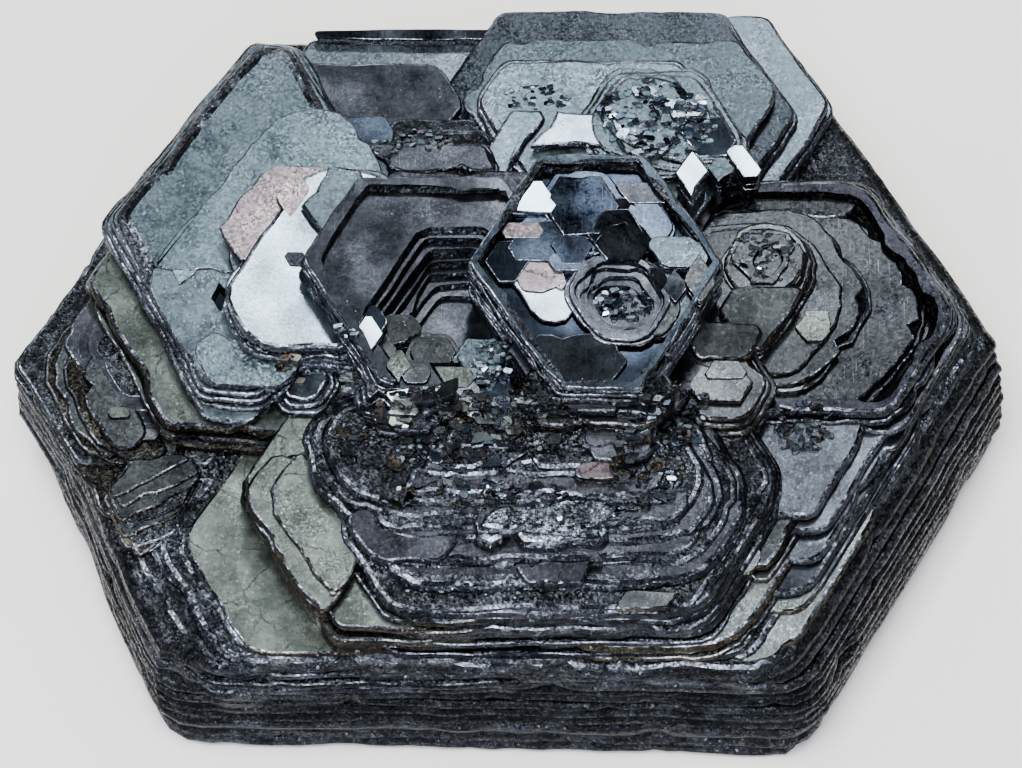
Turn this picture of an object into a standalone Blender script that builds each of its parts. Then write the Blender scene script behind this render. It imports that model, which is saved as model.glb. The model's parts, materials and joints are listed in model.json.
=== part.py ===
# Hematite rose: a rosette of flat hexagonal hematite crystals grown together.
# Every crystal is a plate or a stack of plates whose six sides face the same six
# ways, so each is given by how far its sides lie from its own centre. The sides
# go round from the north-east: north-east, north, north-west, south-west, south,
# south-east. Lengths are in millimetres up to the point where a mesh is made.
import math

import bmesh
import bpy

mm = 0.001
bodyName = "hematite_rose"
sideAngles = (30, 90, 150, 210, 270, 330)
middle = (0.1, 2.3)              # the middle of the outline, which becomes the origin
ledge = 0.4                      # tread of the small ledges on every stack's wall

footSkew = (0, 0, -1.2, -7, -1.5, 0)      # the footing's sides are not quite at 60 degrees
footCorner = (0.6, 1.5, 2.0, 0.8, 3.5, 3.0)      # from the right-hand corner round
footLevels = (
    (0.0, (37.6, 33.2, 37.2, 39.6, 31.3, 38.0)),
    (2.5, (38.4, 34.0, 38.0, 40.4, 31.7, 38.8)),
    (5.0, (39.0, 34.6, 38.5, 40.8, 31.8, 39.3)),
    (8.0, (39.4, 35.1, 38.8, 40.9, 31.8, 39.4)),
    (11.0, (39.7, 35.4, 39.0, 40.8, 31.5, 38.9)),
    (13.0, (39.9, 35.5, 39.0, 40.5, 31.2, 38.1)),
    (15.0, (39.8, 35.5, 38.9, 40.0, 30.8, 36.9)),
)


def clearScene():
    for item in list(bpy.data.objects):
        bpy.data.objects.remove(item, do_unlink=True)


def makeMaterial(name, colour, roughness, metallic):
    material = bpy.data.materials.new(name)
    material.use_nodes = True
    shader = material.node_tree.nodes["Principled BSDF"]
    shader.inputs["Base Color"].default_value = colour
    shader.inputs["Roughness"].default_value = roughness
    shader.inputs["Metallic"].default_value = metallic
    return material


def sideLines(turn, skew):
    # the outward direction of each of the six sides
    return [math.radians(angle + turn + lean) for angle, lean in zip(sideAngles, skew)]


def crossing(lineA, lineB):
    # where two side lines meet, each an angle and a distance from the centre
    (angleA, distA), (angleB, distB) = lineA, lineB
    spread = math.sin(angleB - angleA)
    x = (distA * math.sin(angleB) - distB * math.sin(angleA)) / spread
    y = (distB * math.cos(angleA) - distA * math.cos(angleB)) / spread
    return x, y


def keptSides(angles, sides):
    # a side whose neighbours already cut it off is left out of the outline
    kept = list(range(len(sides)))
    for index in range(len(sides)):
        others = [i for i in kept if i != index]
        place = sorted(others + [index]).index(index)
        before = others[place - 1]
        after = others[place % len(others)]
        turnBetween = (angles[after] - angles[before]) % (2 * math.pi)
        if turnBetween > math.pi - 0.01:
            continue
        x, y = crossing((angles[before], sides[before]), (angles[after], sides[after]))
        reach = x * math.cos(angles[index]) + y * math.sin(angles[index])
        if reach <= sides[index]:
            kept = others
    return kept


def outline(centre, angles, sides, kept, corner):
    # the corners of a plate, each cut by a small facet
    lines = [(angles[i], sides[i]) for i in kept]
    corners = [crossing(lines[i - 1], lines[i]) for i in range(len(lines))]
    points = []
    for index, here in enumerate(corners):
        before = corners[index - 1]
        after = corners[(index + 1) % len(corners)]
        cut = corner[kept[index]] if isinstance(corner, tuple) else corner
        for other in (before, after):
            length = math.dist(here, other)
            share = min(cut / length, 0.4)
            x = here[0] + (other[0] - here[0]) * share
            y = here[1] + (other[1] - here[1]) * share
            points.append((centre[0] + x, centre[1] + y))
    return points


def shell(name, centre, levels, turn=0, corner=1.0, skew=(0,) * 6, tilt=(0, 0)):
    # a closed solid through several levels, each a height and its six side distances
    angles = sideLines(turn, skew)
    kept = keptSides(angles, levels[0][1])
    bm = bmesh.new()
    first = outline(centre, angles, levels[0][1], kept, corner)
    circle = bmesh.ops.create_circle(bm, cap_ends=True, segments=len(first), radius=1)
    face = circle["verts"][0].link_faces[0]
    if face.normal.z < 0:
        face.normal_flip()
    top = levels[-1][0]
    for number, (height, sides) in enumerate(levels):
        if number:
            result = bmesh.ops.extrude_face_region(bm, geom=[face])
            newFaces = [item for item in result["geom"] if isinstance(item, bmesh.types.BMFace)]
            if number > 1:
                bmesh.ops.delete(bm, geom=[face], context="FACES_ONLY")
            face = newFaces[0]
        points = outline(centre, angles, sides, kept, corner)
        for vert, (x, y) in zip(face.verts, points):
            lean = 0.0
            if height == top or (len(levels) > 2 and height > levels[0][0]):
                lean = (x - centre[0]) * math.tan(math.radians(tilt[0]))
                lean += (y - centre[1]) * math.tan(math.radians(tilt[1]))
            vert.co = ((x - middle[0]) * mm, (y - middle[1]) * mm, (height + lean) * mm)
    bmesh.ops.recalc_face_normals(bm, faces=bm.faces)
    mesh = bpy.data.meshes.new(name)
    bm.to_mesh(mesh)
    bm.free()
    return bpy.data.objects.new(name, mesh)


def wider(sides, extra):
    return tuple(side + extra for side in sides)


def stackLevels(root, top, sides, layers=1, drop=1.0, run=ledge):
    # from the root up: each lower layer stands out one ledge more than the next
    levels = [(root, wider(sides, run * (layers - 1)))]
    for number in range(layers - 1, 0, -1):
        height = top - drop * number
        levels.append((height, wider(sides, run * number)))
        levels.append((height, wider(sides, run * (number - 1))))
    levels.append((top, sides))
    return levels


def funnelLevels(steps, mouth):
    # a hollow that opens upwards in steps, each a floor height and its six side distances
    levels = []
    for number, (height, sides) in enumerate(steps):
        levels.append((height, sides))
        following = steps[number + 1][0] if number + 1 < len(steps) else mouth
        levels.append((following, sides))
    return levels


def addTo(collection, item):
    collection.objects.link(item)
    item.hide_render = True
    item.display_type = "WIRE"


def newCollection(name):
    collection = bpy.data.collections.new(name)
    bpy.context.scene.collection.children.link(collection)
    return collection


def plate(collection, name, at, sides, root, top, layers=1, drop=1.0, run=ledge, **form):
    addTo(collection, shell(name, at, stackLevels(root, top, sides, layers, drop, run), **form))


def hollow(collection, name, at, steps, mouth, **form):
    addTo(collection, shell(name, at, funnelLevels(steps, mouth), **form))


def growShelves(outer):
    # the low left shelf and the flat shelves down the south-west side
    plate(outer, "left shelf", (-36, -3), (20, 30, 9.2, 6.4, 8, 12), 8, 16, layers=2, drop=1.2)
    plate(outer, "left shelf step", (-33, -1), (9, 15, 8.2, 5.4, 7.4, 8), 9, 17.2)
    shelfAt = (-18, -20)
    plate(outer, "front low shelf", shelfAt, (22, 20, 14.0, 13.6, 11.3, 24), 6, 13, corner=2)
    plate(outer, "front lower shelf", shelfAt, (22, 20, 13.0, 11.8, 10.9, 24), 6, 14, corner=2)
    plate(outer, "front middle shelf", shelfAt, (22, 20, 11.8, 10.3, 10.3, 24), 6, 15, corner=2)
    plate(outer, "front shelf", shelfAt, (22, 20, 10.7, 9.2, 9.7, 24), 6, 16, corner=2)
    plate(outer, "front shelf step", shelfAt, (14, 20, 8.0, 2.2, 9.2, 14), 9, 19.6, layers=2,
          drop=1.6, run=0.6)
    plate(outer, "front shelf top", (-13, -18), (14, 20, 7.6, 1.8, 11, 14), 9, 20.4, layers=2)


def growBack(outer):
    # a low strip with a narrow ridge behind it, then the big plates of the far right corner
    plate(outer, "back strip", (-10, 28), (9, 6.2, 10.7, 14, 4, 14), 9, 17.4, layers=2)
    plate(outer, "back ridge", (-10, 31), (9, 3.2, 9.2, 6, 0.2, 9), 9, 19.2)
    plate(outer, "far shelf", (12, 24), (16.6, 12.6, 17.0, 16, 16, 14), 9, 17.6, layers=2)
    plate(outer, "far plate", (12, 24), (12.6, 12.0, 17.2, 16, 16, 12), 9, 19.2, layers=2, drop=0.8)
    plate(outer, "far second plate", (12, 24), (12.0, 7.9, 14.9, 14, 14, 10), 9, 20.6)
    plate(outer, "far third plate", (12, 24), (5.4, 4.8, 13.2, 13, 14, 4), 9, 21.7)
    plate(outer, "far mound", (12, 21.5), (4.0, 3.8, 3.4, 3, 5, 3.5), 16, 23.4, layers=3, drop=0.5,
          run=0.5, corner=1.2)
    plate(outer, "far tall crystal", (16.4, 14.5), (1.6, 2.0, 1.6, 1.6, 3.0, 1.6), 16, 25.2, corner=0.5,
          tilt=(2, 6))


def growLeftStack(outer):
    # four thick plates one on another, turned a little from the rest
    stackAt = (-24, 12)
    stackTurn = -4
    plate(outer, "left ledge", stackAt, (16, 18, 9.2, 15.4, 21.3, 16), 9, 19.5, layers=2,
          drop=1.2, turn=stackTurn)
    plate(outer, "left low step", stackAt, (11, 18, 9.0, 12.0, 20.8, 12.5), 12, 20.4,
          turn=stackTurn)
    plate(outer, "left stack", stackAt, (10.8, 17.8, 9.0, 10.8, 18.3, 11.6), 12, 22.5, layers=4,
          drop=0.6, run=0.45, turn=stackTurn)
    plate(outer, "left top sheet", stackAt, (13, 11, 3.5, 9.9, 17.6, 10.8), 14, 22.9,
          turn=stackTurn, corner=3)
    plate(outer, "mirror ledge", (-19, 5), (12, 10.6, 6.6, 5.2, 3.0, 12), 14, 23.9, corner=1.5)
    plate(outer, "mirror plate", (-19, 5), (12, 10.4, 4.6, 7.9, 9.1, 12), 14, 25, layers=2,
          drop=1.2, corner=2.5, tilt=(-2, -1))


def growRightTerraces(outer):
    # terraces down the south-east side, lowest first
    terracesAt = (29, -12)
    plate(outer, "right lowest terrace", terracesAt, (12, 16, 20, 20, 19.5, 5.4), 7, 13.0, corner=3)
    plate(outer, "right lower terrace", terracesAt, (12, 16, 20, 20, 19.3, 4.5), 7, 14.2, corner=2)
    plate(outer, "right low terrace", terracesAt, (12, 16, 20, 20, 18.9, 3.6), 7, 15.4, corner=2)
    plate(outer, "right second terrace", terracesAt, (10, 16, 20, 20, 15.6, 3.2), 7, 16.4, layers=2,
          drop=0.8, corner=2)
    plate(outer, "right strip", terracesAt, (10, 16, 30, 30, 17.9, 0.9), 7, 17.4, layers=2, drop=1.2,
          corner=3)
    plate(outer, "right third terrace", terracesAt, (8, 12, 12, 12, 9.3, 2.8), 9, 17.2)
    plate(outer, "right fourth terrace", terracesAt, (8, 12, 12, 12, 6.6, 2.2), 9, 18.2)
    plate(outer, "right shelf", terracesAt, (4, 12, 14, 12, 12.8, -0.1), 9, 18.8, layers=2, corner=2)
    plate(outer, "right top shelf", terracesAt, (4.2, 14, 14, 9.7, 5.9, 1.0), 9, 19.3, corner=1.5)


def growFrontMound(outer):
    # the steep front: thick rough layers that step up and back
    frontAt = (-1, -20)
    plate(outer, "front block", frontAt, (26, 16, 14, 12.9, 9.3, 20.5), 6, 19.0, layers=4, drop=1.2,
          run=0.35, corner=2)
    plate(outer, "front second block", frontAt, (24, 16, 13, 12.7, 8.4, 18.8), 9, 21.3, layers=2,
          drop=1.0, corner=2)
    plate(outer, "front third block", frontAt, (20, 18, 12, 10.9, 6.0, 14.8), 9, 22.5, corner=2)
    plate(outer, "front ridge", (4, -20), (16, 12, 7, 8, 3.4, 9.6), 9, 23.4, layers=2, drop=0.6,
          corner=2)
    plate(outer, "front mound", frontAt, (17, 12, 18, 10.4, 0.6, 10.8), 9, 24.3, layers=3,
          drop=0.6, run=0.7, corner=3)


def growMiddle(outer):
    # the ground between the rosettes, and the blocks that two of them are cut from
    plate(outer, "middle ground", (4, 2), (15, 14, 20, 16, 15, 15), 9, 23.2, layers=2)
    plate(outer, "dark rosette", (-4, 0), (9, 12.4, 14.7, 11.0, 9, 8), 12, 28.0, layers=3,
          drop=0.9, run=0.3)
    plate(outer, "right ground", (28, 4), (11.2, 13.6, 16, 18, 14, 12.5), 9, 17.4)
    plate(outer, "right rim", (28, 4), (9.9, 12.7, 15, 16, 12, 11.4), 9, 20.4, layers=2, drop=1.4)


def cutFirstHollows(hollows):
    # stepped funnels: the basal faces of the inner crystals are their floors
    darkAt = (-4, 0)
    hollow(hollows, "dark bowl", darkAt, ((26.4, (9, 11.5, 13.6, 10.0, 12, 9)),), 31)
    hollow(hollows, "dark funnel", darkAt,
           ((20.6, (2.6, 3.8, 4.1, 5.0, 3.0, 2.6)), (21.9, (3.6, 5.6, 5.6, 6.4, 4.0, 3.6)),
            (23.4, (4.6, 6.9, 6.4, 7.6, 5.0, 4.6)), (24.9, (5.6, 7.5, 7.0, 8.4, 6.0, 5.6))), 27)
    hollow(hollows, "dark rosette gap", (-3, -8), ((24.4, (4, 3, 5.5, 3, 4, 5)),), 30)
    hollow(hollows, "right trench", (28, 4), ((17.8, (8.9, 11.4, 13, 14, 11, 10.4)),), 26)
    hollow(hollows, "left pit", (-26.2, 4.2), ((19.2, (1.2, 1.8, 1.3, 1.2, 1.6, 1.3)),), 26,
           corner=0.4)


def growHighRosette(high):
    # the highest rosette, and the plates of the right one, which rise towards its middle
    plate(high, "high rosette", (7, 1), (11, 13.0, 10.3, 8.4, 11.4, 9.4), 12, 29, layers=3,
          drop=1.0, run=0.35, turn=1)
    plate(high, "small nest", (18.5, -6), (4, 4, 5, 3.4, 3.7, 3.8), 12, 22.8, layers=2, drop=0.7)
    plate(high, "right floor plate", (28, 4), (8.4, 9.6, 12, 14, 11.0, 8.9), 12, 19.5, layers=2,
          drop=0.8, corner=2)
    plate(high, "right second plate", (23, 4), (8.8, 9.6, 9, 11, 9.4, 8.6), 12, 21, layers=2,
          drop=0.6, corner=2)
    plate(high, "right third plate", (23, 4), (5.7, 6.9, 8, 9, 7.6, 3.0), 12, 22, corner=1.5)
    plate(high, "right core", (21, 4), (3.6, 4.4, 4, 4, 4.4, 3.0), 14, 22.8, corner=1)
    plate(high, "dark floor crystal", (-12.2, -2.4), (1.2, 1.8, 1.2, 1.4, 2.0, 1.2), 18, 27.2,
          corner=0.4, tilt=(4, 0))
    plate(high, "low floor crystal", (-4.5, -8.6), (1.8, 1.6, 1.6, 1.8, 1.6, 2.0), 18, 25.4,
          corner=0.5, tilt=(-3, 2))


def cutHighHollows(highHollows):
    hollow(highHollows, "high bowl", (7, 1),
           ((25.4, (9.4, 11.9, 8.9, 7.0, 10.2, 8.0)), (27.4, (9.9, 12.2, 9.3, 7.5, 10.6, 8.5))), 32,
           turn=1)
    hollow(highHollows, "high well", (9.5, 0),
           ((23.2, (4.6, 5.6, 5.4, 3.6, 5.2, 4.6)), (24.4, (5.1, 6.1, 5.9, 4.1, 5.7, 5.1))), 27,
           corner=2)
    hollow(highHollows, "small nest hollow", (18.5, -6), ((22.0, (2.4, 2.6, 2.8, 1.8, 2.0, 2.2)),), 26,
           corner=0.6)
    hollow(highHollows, "right core hollow", (21, 4), ((21.6, (2.2, 2.8, 2.6, 2.6, 2.8, 2.0)),), 26,
           corner=0.8)


def growInnerPlates(inner):
    # crystals standing inside the high rosette
    plate(inner, "high back plate", (7, 1), (6.7, 11.6, 7.8, 3, -3, 3), 20, 26.2, corner=1)
    plate(inner, "high disc", (12.5, 8), (1.8, 2.6, 2.2, 2, 1.6, 1.9), 20, 26.6, corner=1,
          tilt=(-2, -3))
    plate(inner, "high left plate", (1, 4), (3.4, 3.2, 2.6, 2.4, 3.0, 3.0), 20, 27.0, corner=0.6)
    plate(inner, "high ring plate", (9.5, -3), (3.0, 2.4, 3.2, 2.6, 2.2, 2.4), 20, 24.2, corner=0.8)


def joinWith(body, collection, operation):
    join = body.modifiers.new(collection.name, "BOOLEAN")
    join.operand_type = "COLLECTION"
    join.collection = collection
    join.operation = operation
    join.solver = "EXACT"


def footLedges():
    # small ledges on the footing's wall: each course ends a little inside the one below it
    levels = [footLevels[0]]
    for height, sides in footLevels[1:-1]:
        levels.append((height, sides))
        levels.append((height, wider(sides, -ledge)))
    levels.append(footLevels[-1])
    return levels


def main():
    clearScene()
    rose = newCollection(bodyName)
    body = shell(bodyName, (0, 0), footLedges(), corner=footCorner, skew=footSkew)
    body.data.materials.append(makeMaterial("polished hematite", (0.13, 0.14, 0.15, 1), 0.25, 1.0))
    rose.objects.link(body)

    outer = newCollection("outer crystals")
    growShelves(outer)
    growBack(outer)
    growLeftStack(outer)
    growRightTerraces(outer)
    growFrontMound(outer)
    growMiddle(outer)
    joinWith(body, outer, "UNION")

    hollows = newCollection("hollows")
    cutFirstHollows(hollows)
    joinWith(body, hollows, "DIFFERENCE")

    high = newCollection("high crystals")
    growHighRosette(high)
    joinWith(body, high, "UNION")

    highHollows = newCollection("high hollows")
    cutHighHollows(highHollows)
    joinWith(body, highHollows, "DIFFERENCE")

    inner = newCollection("inner crystals")
    growInnerPlates(inner)
    joinWith(body, inner, "UNION")


main()
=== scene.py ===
import json
import math
import random
from functools import partial

import bmesh
import bpy
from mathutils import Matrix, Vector, noise
from mathutils.bvhtree import BVHTree

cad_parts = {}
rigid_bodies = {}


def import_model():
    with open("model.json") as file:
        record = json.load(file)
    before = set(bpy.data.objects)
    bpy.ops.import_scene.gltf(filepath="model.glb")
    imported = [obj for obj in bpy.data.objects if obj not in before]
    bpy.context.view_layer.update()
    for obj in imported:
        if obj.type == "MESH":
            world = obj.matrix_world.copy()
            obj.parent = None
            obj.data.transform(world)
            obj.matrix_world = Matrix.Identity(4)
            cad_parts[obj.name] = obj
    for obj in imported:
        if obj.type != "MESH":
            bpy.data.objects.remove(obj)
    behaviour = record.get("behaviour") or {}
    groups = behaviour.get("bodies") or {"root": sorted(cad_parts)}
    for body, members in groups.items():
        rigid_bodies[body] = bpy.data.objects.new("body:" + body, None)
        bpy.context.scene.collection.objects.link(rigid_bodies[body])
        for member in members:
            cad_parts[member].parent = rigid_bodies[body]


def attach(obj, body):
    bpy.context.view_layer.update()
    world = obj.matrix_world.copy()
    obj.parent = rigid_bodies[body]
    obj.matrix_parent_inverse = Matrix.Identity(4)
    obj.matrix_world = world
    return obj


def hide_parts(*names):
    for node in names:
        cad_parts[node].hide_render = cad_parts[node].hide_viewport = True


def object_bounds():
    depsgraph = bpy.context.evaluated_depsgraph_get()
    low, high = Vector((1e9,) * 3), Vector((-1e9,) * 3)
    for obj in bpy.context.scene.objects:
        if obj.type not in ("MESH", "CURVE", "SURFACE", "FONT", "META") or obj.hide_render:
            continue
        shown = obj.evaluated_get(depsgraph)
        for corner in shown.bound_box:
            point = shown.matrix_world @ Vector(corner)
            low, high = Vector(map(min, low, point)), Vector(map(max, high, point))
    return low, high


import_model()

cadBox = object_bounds()
print("frame loaded")

# Lengths are in millimetres up to the point where a mesh or a light is made.
mm = 0.001
sideAngles = (30, 90, 150, 210, 270, 330)      # outward directions of a plate's six sides
middle = (0.1, 2.3)      # the middle of the outline, which is the origin
ledge = 0.4      # tread of the small ledges on a stack's wall
slotFace, slotRim, slotWall = 0, 1, 2      # material slots of the rose

leaves = {      # the thin leaves that show in every wall
    "thin": 0.55,
    "thick": 1.35,
    "groove": 0.42,      # how far the joint between two leaves is set back
    "stray": 0.3,      # how far one leaf stands back from its neighbours
    "bulge": 0.6,      # how round the edge of one leaf is
    "turns": (0, 30, 62, 90),      # steps round that edge, from upright to level
    "drape": 0.35,      # how round the edge of a plate's flat face is
    "shades": 0.12,      # how much lighter or darker single leaves are
    "paintedGrooveShade": 0.3,      # painted shade: how much darker the joints between leaves are made, where shade falls
    "paintedFootShade": 0.2,      # painted shade under the foot of each leaf
    "sag": 0.34,      # how far a joint rises and falls along the wall
    "sagLength": 6.0,
    "sagFade": 0.8,      # a joint nearer to a flat face than this sags less
    "spacing": 0.98,      # of the points along an edge
    "sharp": 0.35,      # corners cut back by less than this stay sharp
    "mostCut": 0.42,      # share of an edge that a rounded corner may take
    "crease": 32,      # edges bent by more degrees than this stay sharp
    "fullSize": 3.0,      # plates smaller or narrower than this have finer edges
    "fullWidth": 2.4,      # the same between opposite sides
}

edges = {      # how an edge strays from its straight line, a size and a depth for each
    "slow": (9.0, 0.35),
    "ripple": (3.4, 0.24),
    "nibble": (1.2, 0.09),
    "chip": (2.6, 1.3),
    "chipFrom": 0.3,      # the higher, the fewer the chips
    "most": 0.12,      # furthest outwards
}

# Tone is how light the metal is and haze runs from mirror to matt. Tint picks its film: 0 blue,
# 0.25 teal, 0.5 grey, 0.75 olive, 1 rosy. Edge is how much lighter its walls are.
teal = {"tone": 0.5, "tint": 0.27, "haze": 0.62}
paleTeal = {"tone": 0.55, "tint": 0.25, "haze": 0.62}
greyTeal = {"tone": 0.28, "tint": 0.28, "haze": 0.55}
etched = {"tone": 0.6, "tint": 0.25, "haze": 0.9}
mirror = {"tone": 0.96, "tint": 0.3, "haze": 0.25}
pale = {"tone": 0.62, "tint": 0.5, "haze": 0.5}
rosy = {"tone": 0.62, "tint": 1.0, "haze": 0.6}
slate = {"tone": 0.18, "tint": 0.05, "haze": 0.3}
night = {"tone": 0.11, "tint": 0.0, "haze": 0.2}
dusk = {"tone": 0.2, "tint": 0.45, "haze": 0.35}
black = {"tone": 0.05, "tint": 0.4, "haze": 0.2}
olive = {"tone": 0.56, "tint": 0.75, "haze": 0.5, "edge": -0.3}
greyOlive = {"tone": 0.2, "tint": 0.6, "haze": 0.42}
terraceOlive = dict(olive, tint=0.66, edge=-0.1)
terraceGrey = dict(greyOlive, tint=0.42)
brown = {"tone": 0.17, "tint": 0.62, "haze": 0.5}
murk = {"tone": 0.15, "tint": 0.5, "haze": 0.5}
charcoal = {"tone": 0.11, "tint": 0.5, "haze": 0.5}
broken = {"tone": 0.16, "tint": 0.5, "haze": 0.5, "surface": slotWall}      # not mirror-like
umber = {"tone": 0.18, "tint": 0.6, "haze": 0.66, "surface": slotWall, "rust": 0.08}
glittering = {"tone": 0.75, "tint": 0.45, "haze": 0.35, "surface": slotWall}
swirl = {"tint": 0.6, "haze": 0.45, "corner": 3.5, "rough": 2.0, "drape": 0.3, "bulge": 0.35}
crisp = {"bulge": 0.22, "drape": 0.18, "thin": 0.3, "thick": 0.8}      # sharp young edges
atSoftbox = (-3.5, -2.5)      # the tilt that turns a face to the back softbox
flash = dict(mirror, tilt=atSoftbox)


def wider(sides, extra):
    return tuple(side + extra for side in sides)


def crossing(lineA, lineB):
    # where two side lines meet, each an angle and a distance from the centre
    (angleA, distA), (angleB, distB) = lineA, lineB
    spread = math.sin(angleB - angleA)
    x = (distA * math.sin(angleB) - distB * math.sin(angleA)) / spread
    y = (distB * math.cos(angleA) - distA * math.cos(angleB)) / spread
    return Vector((x, y))


def keptSides(angles, sides):
    # a side whose neighbours already cut it off is left out of the outline
    kept = list(range(len(sides)))
    for index in range(len(sides)):
        others = [i for i in kept if i != index]
        place = sorted(others + [index]).index(index)
        before = others[place - 1]
        after = others[place % len(others)]
        turnBetween = (angles[after] - angles[before]) % (2 * math.pi)
        if turnBetween > math.pi - 0.01:
            continue
        meet = crossing((angles[before], sides[before]), (angles[after], sides[after]))
        if meet.x * math.cos(angles[index]) + meet.y * math.sin(angles[index]) <= sides[index]:
            kept = others
    return kept


def outlineOf(angles, sides, kept, corner):
    # the corners of the outline, each rounded unless it is nearly sharp
    lines = [(angles[i], sides[i]) for i in kept]
    corners = [crossing(lines[i - 1], lines[i]) for i in range(len(lines))]
    points = []
    for index, here in enumerate(corners):
        before = corners[index - 1]
        after = corners[(index + 1) % len(corners)]
        cut = corner[kept[index]] if isinstance(corner, tuple) else corner
        if cut < leaves["sharp"]:
            points.append(here)
            continue
        start = here.lerp(before, min(cut / max((here - before).length, 1e-6), leaves["mostCut"]))
        end = here.lerp(after, min(cut / max((here - after).length, 1e-6), leaves["mostCut"]))
        for share in (0.0, 0.33, 0.67, 1.0):
            points.append(start.lerp(here, share).lerp(here.lerp(end, share), share))
    return points


def noiseAt(x, y, level, size):
    return noise.noise(Vector((x / size, y / size, level)))


def edgeWave(x, y, layer, rough):
    # how far an edge strays outwards from its line at one point
    slowSize, slowDepth = edges["slow"]
    rippleSize, rippleDepth = edges["ripple"]
    nibbleSize, nibbleDepth = edges["nibble"]
    chipSize, chipDepth = edges["chip"]
    wave = noiseAt(x, y, 3.7, slowSize) * slowDepth
    wave += noiseAt(x, y, layer * 1.7, rippleSize) * rippleDepth * rough
    wave += noiseAt(x, y, layer * 5.3, nibbleSize) * nibbleDepth * rough
    wave -= max(0.0, noiseAt(x, y, layer * 2.9, chipSize) - edges["chipFrom"]) * chipDepth * rough
    return min(wave, edges["most"])


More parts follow.
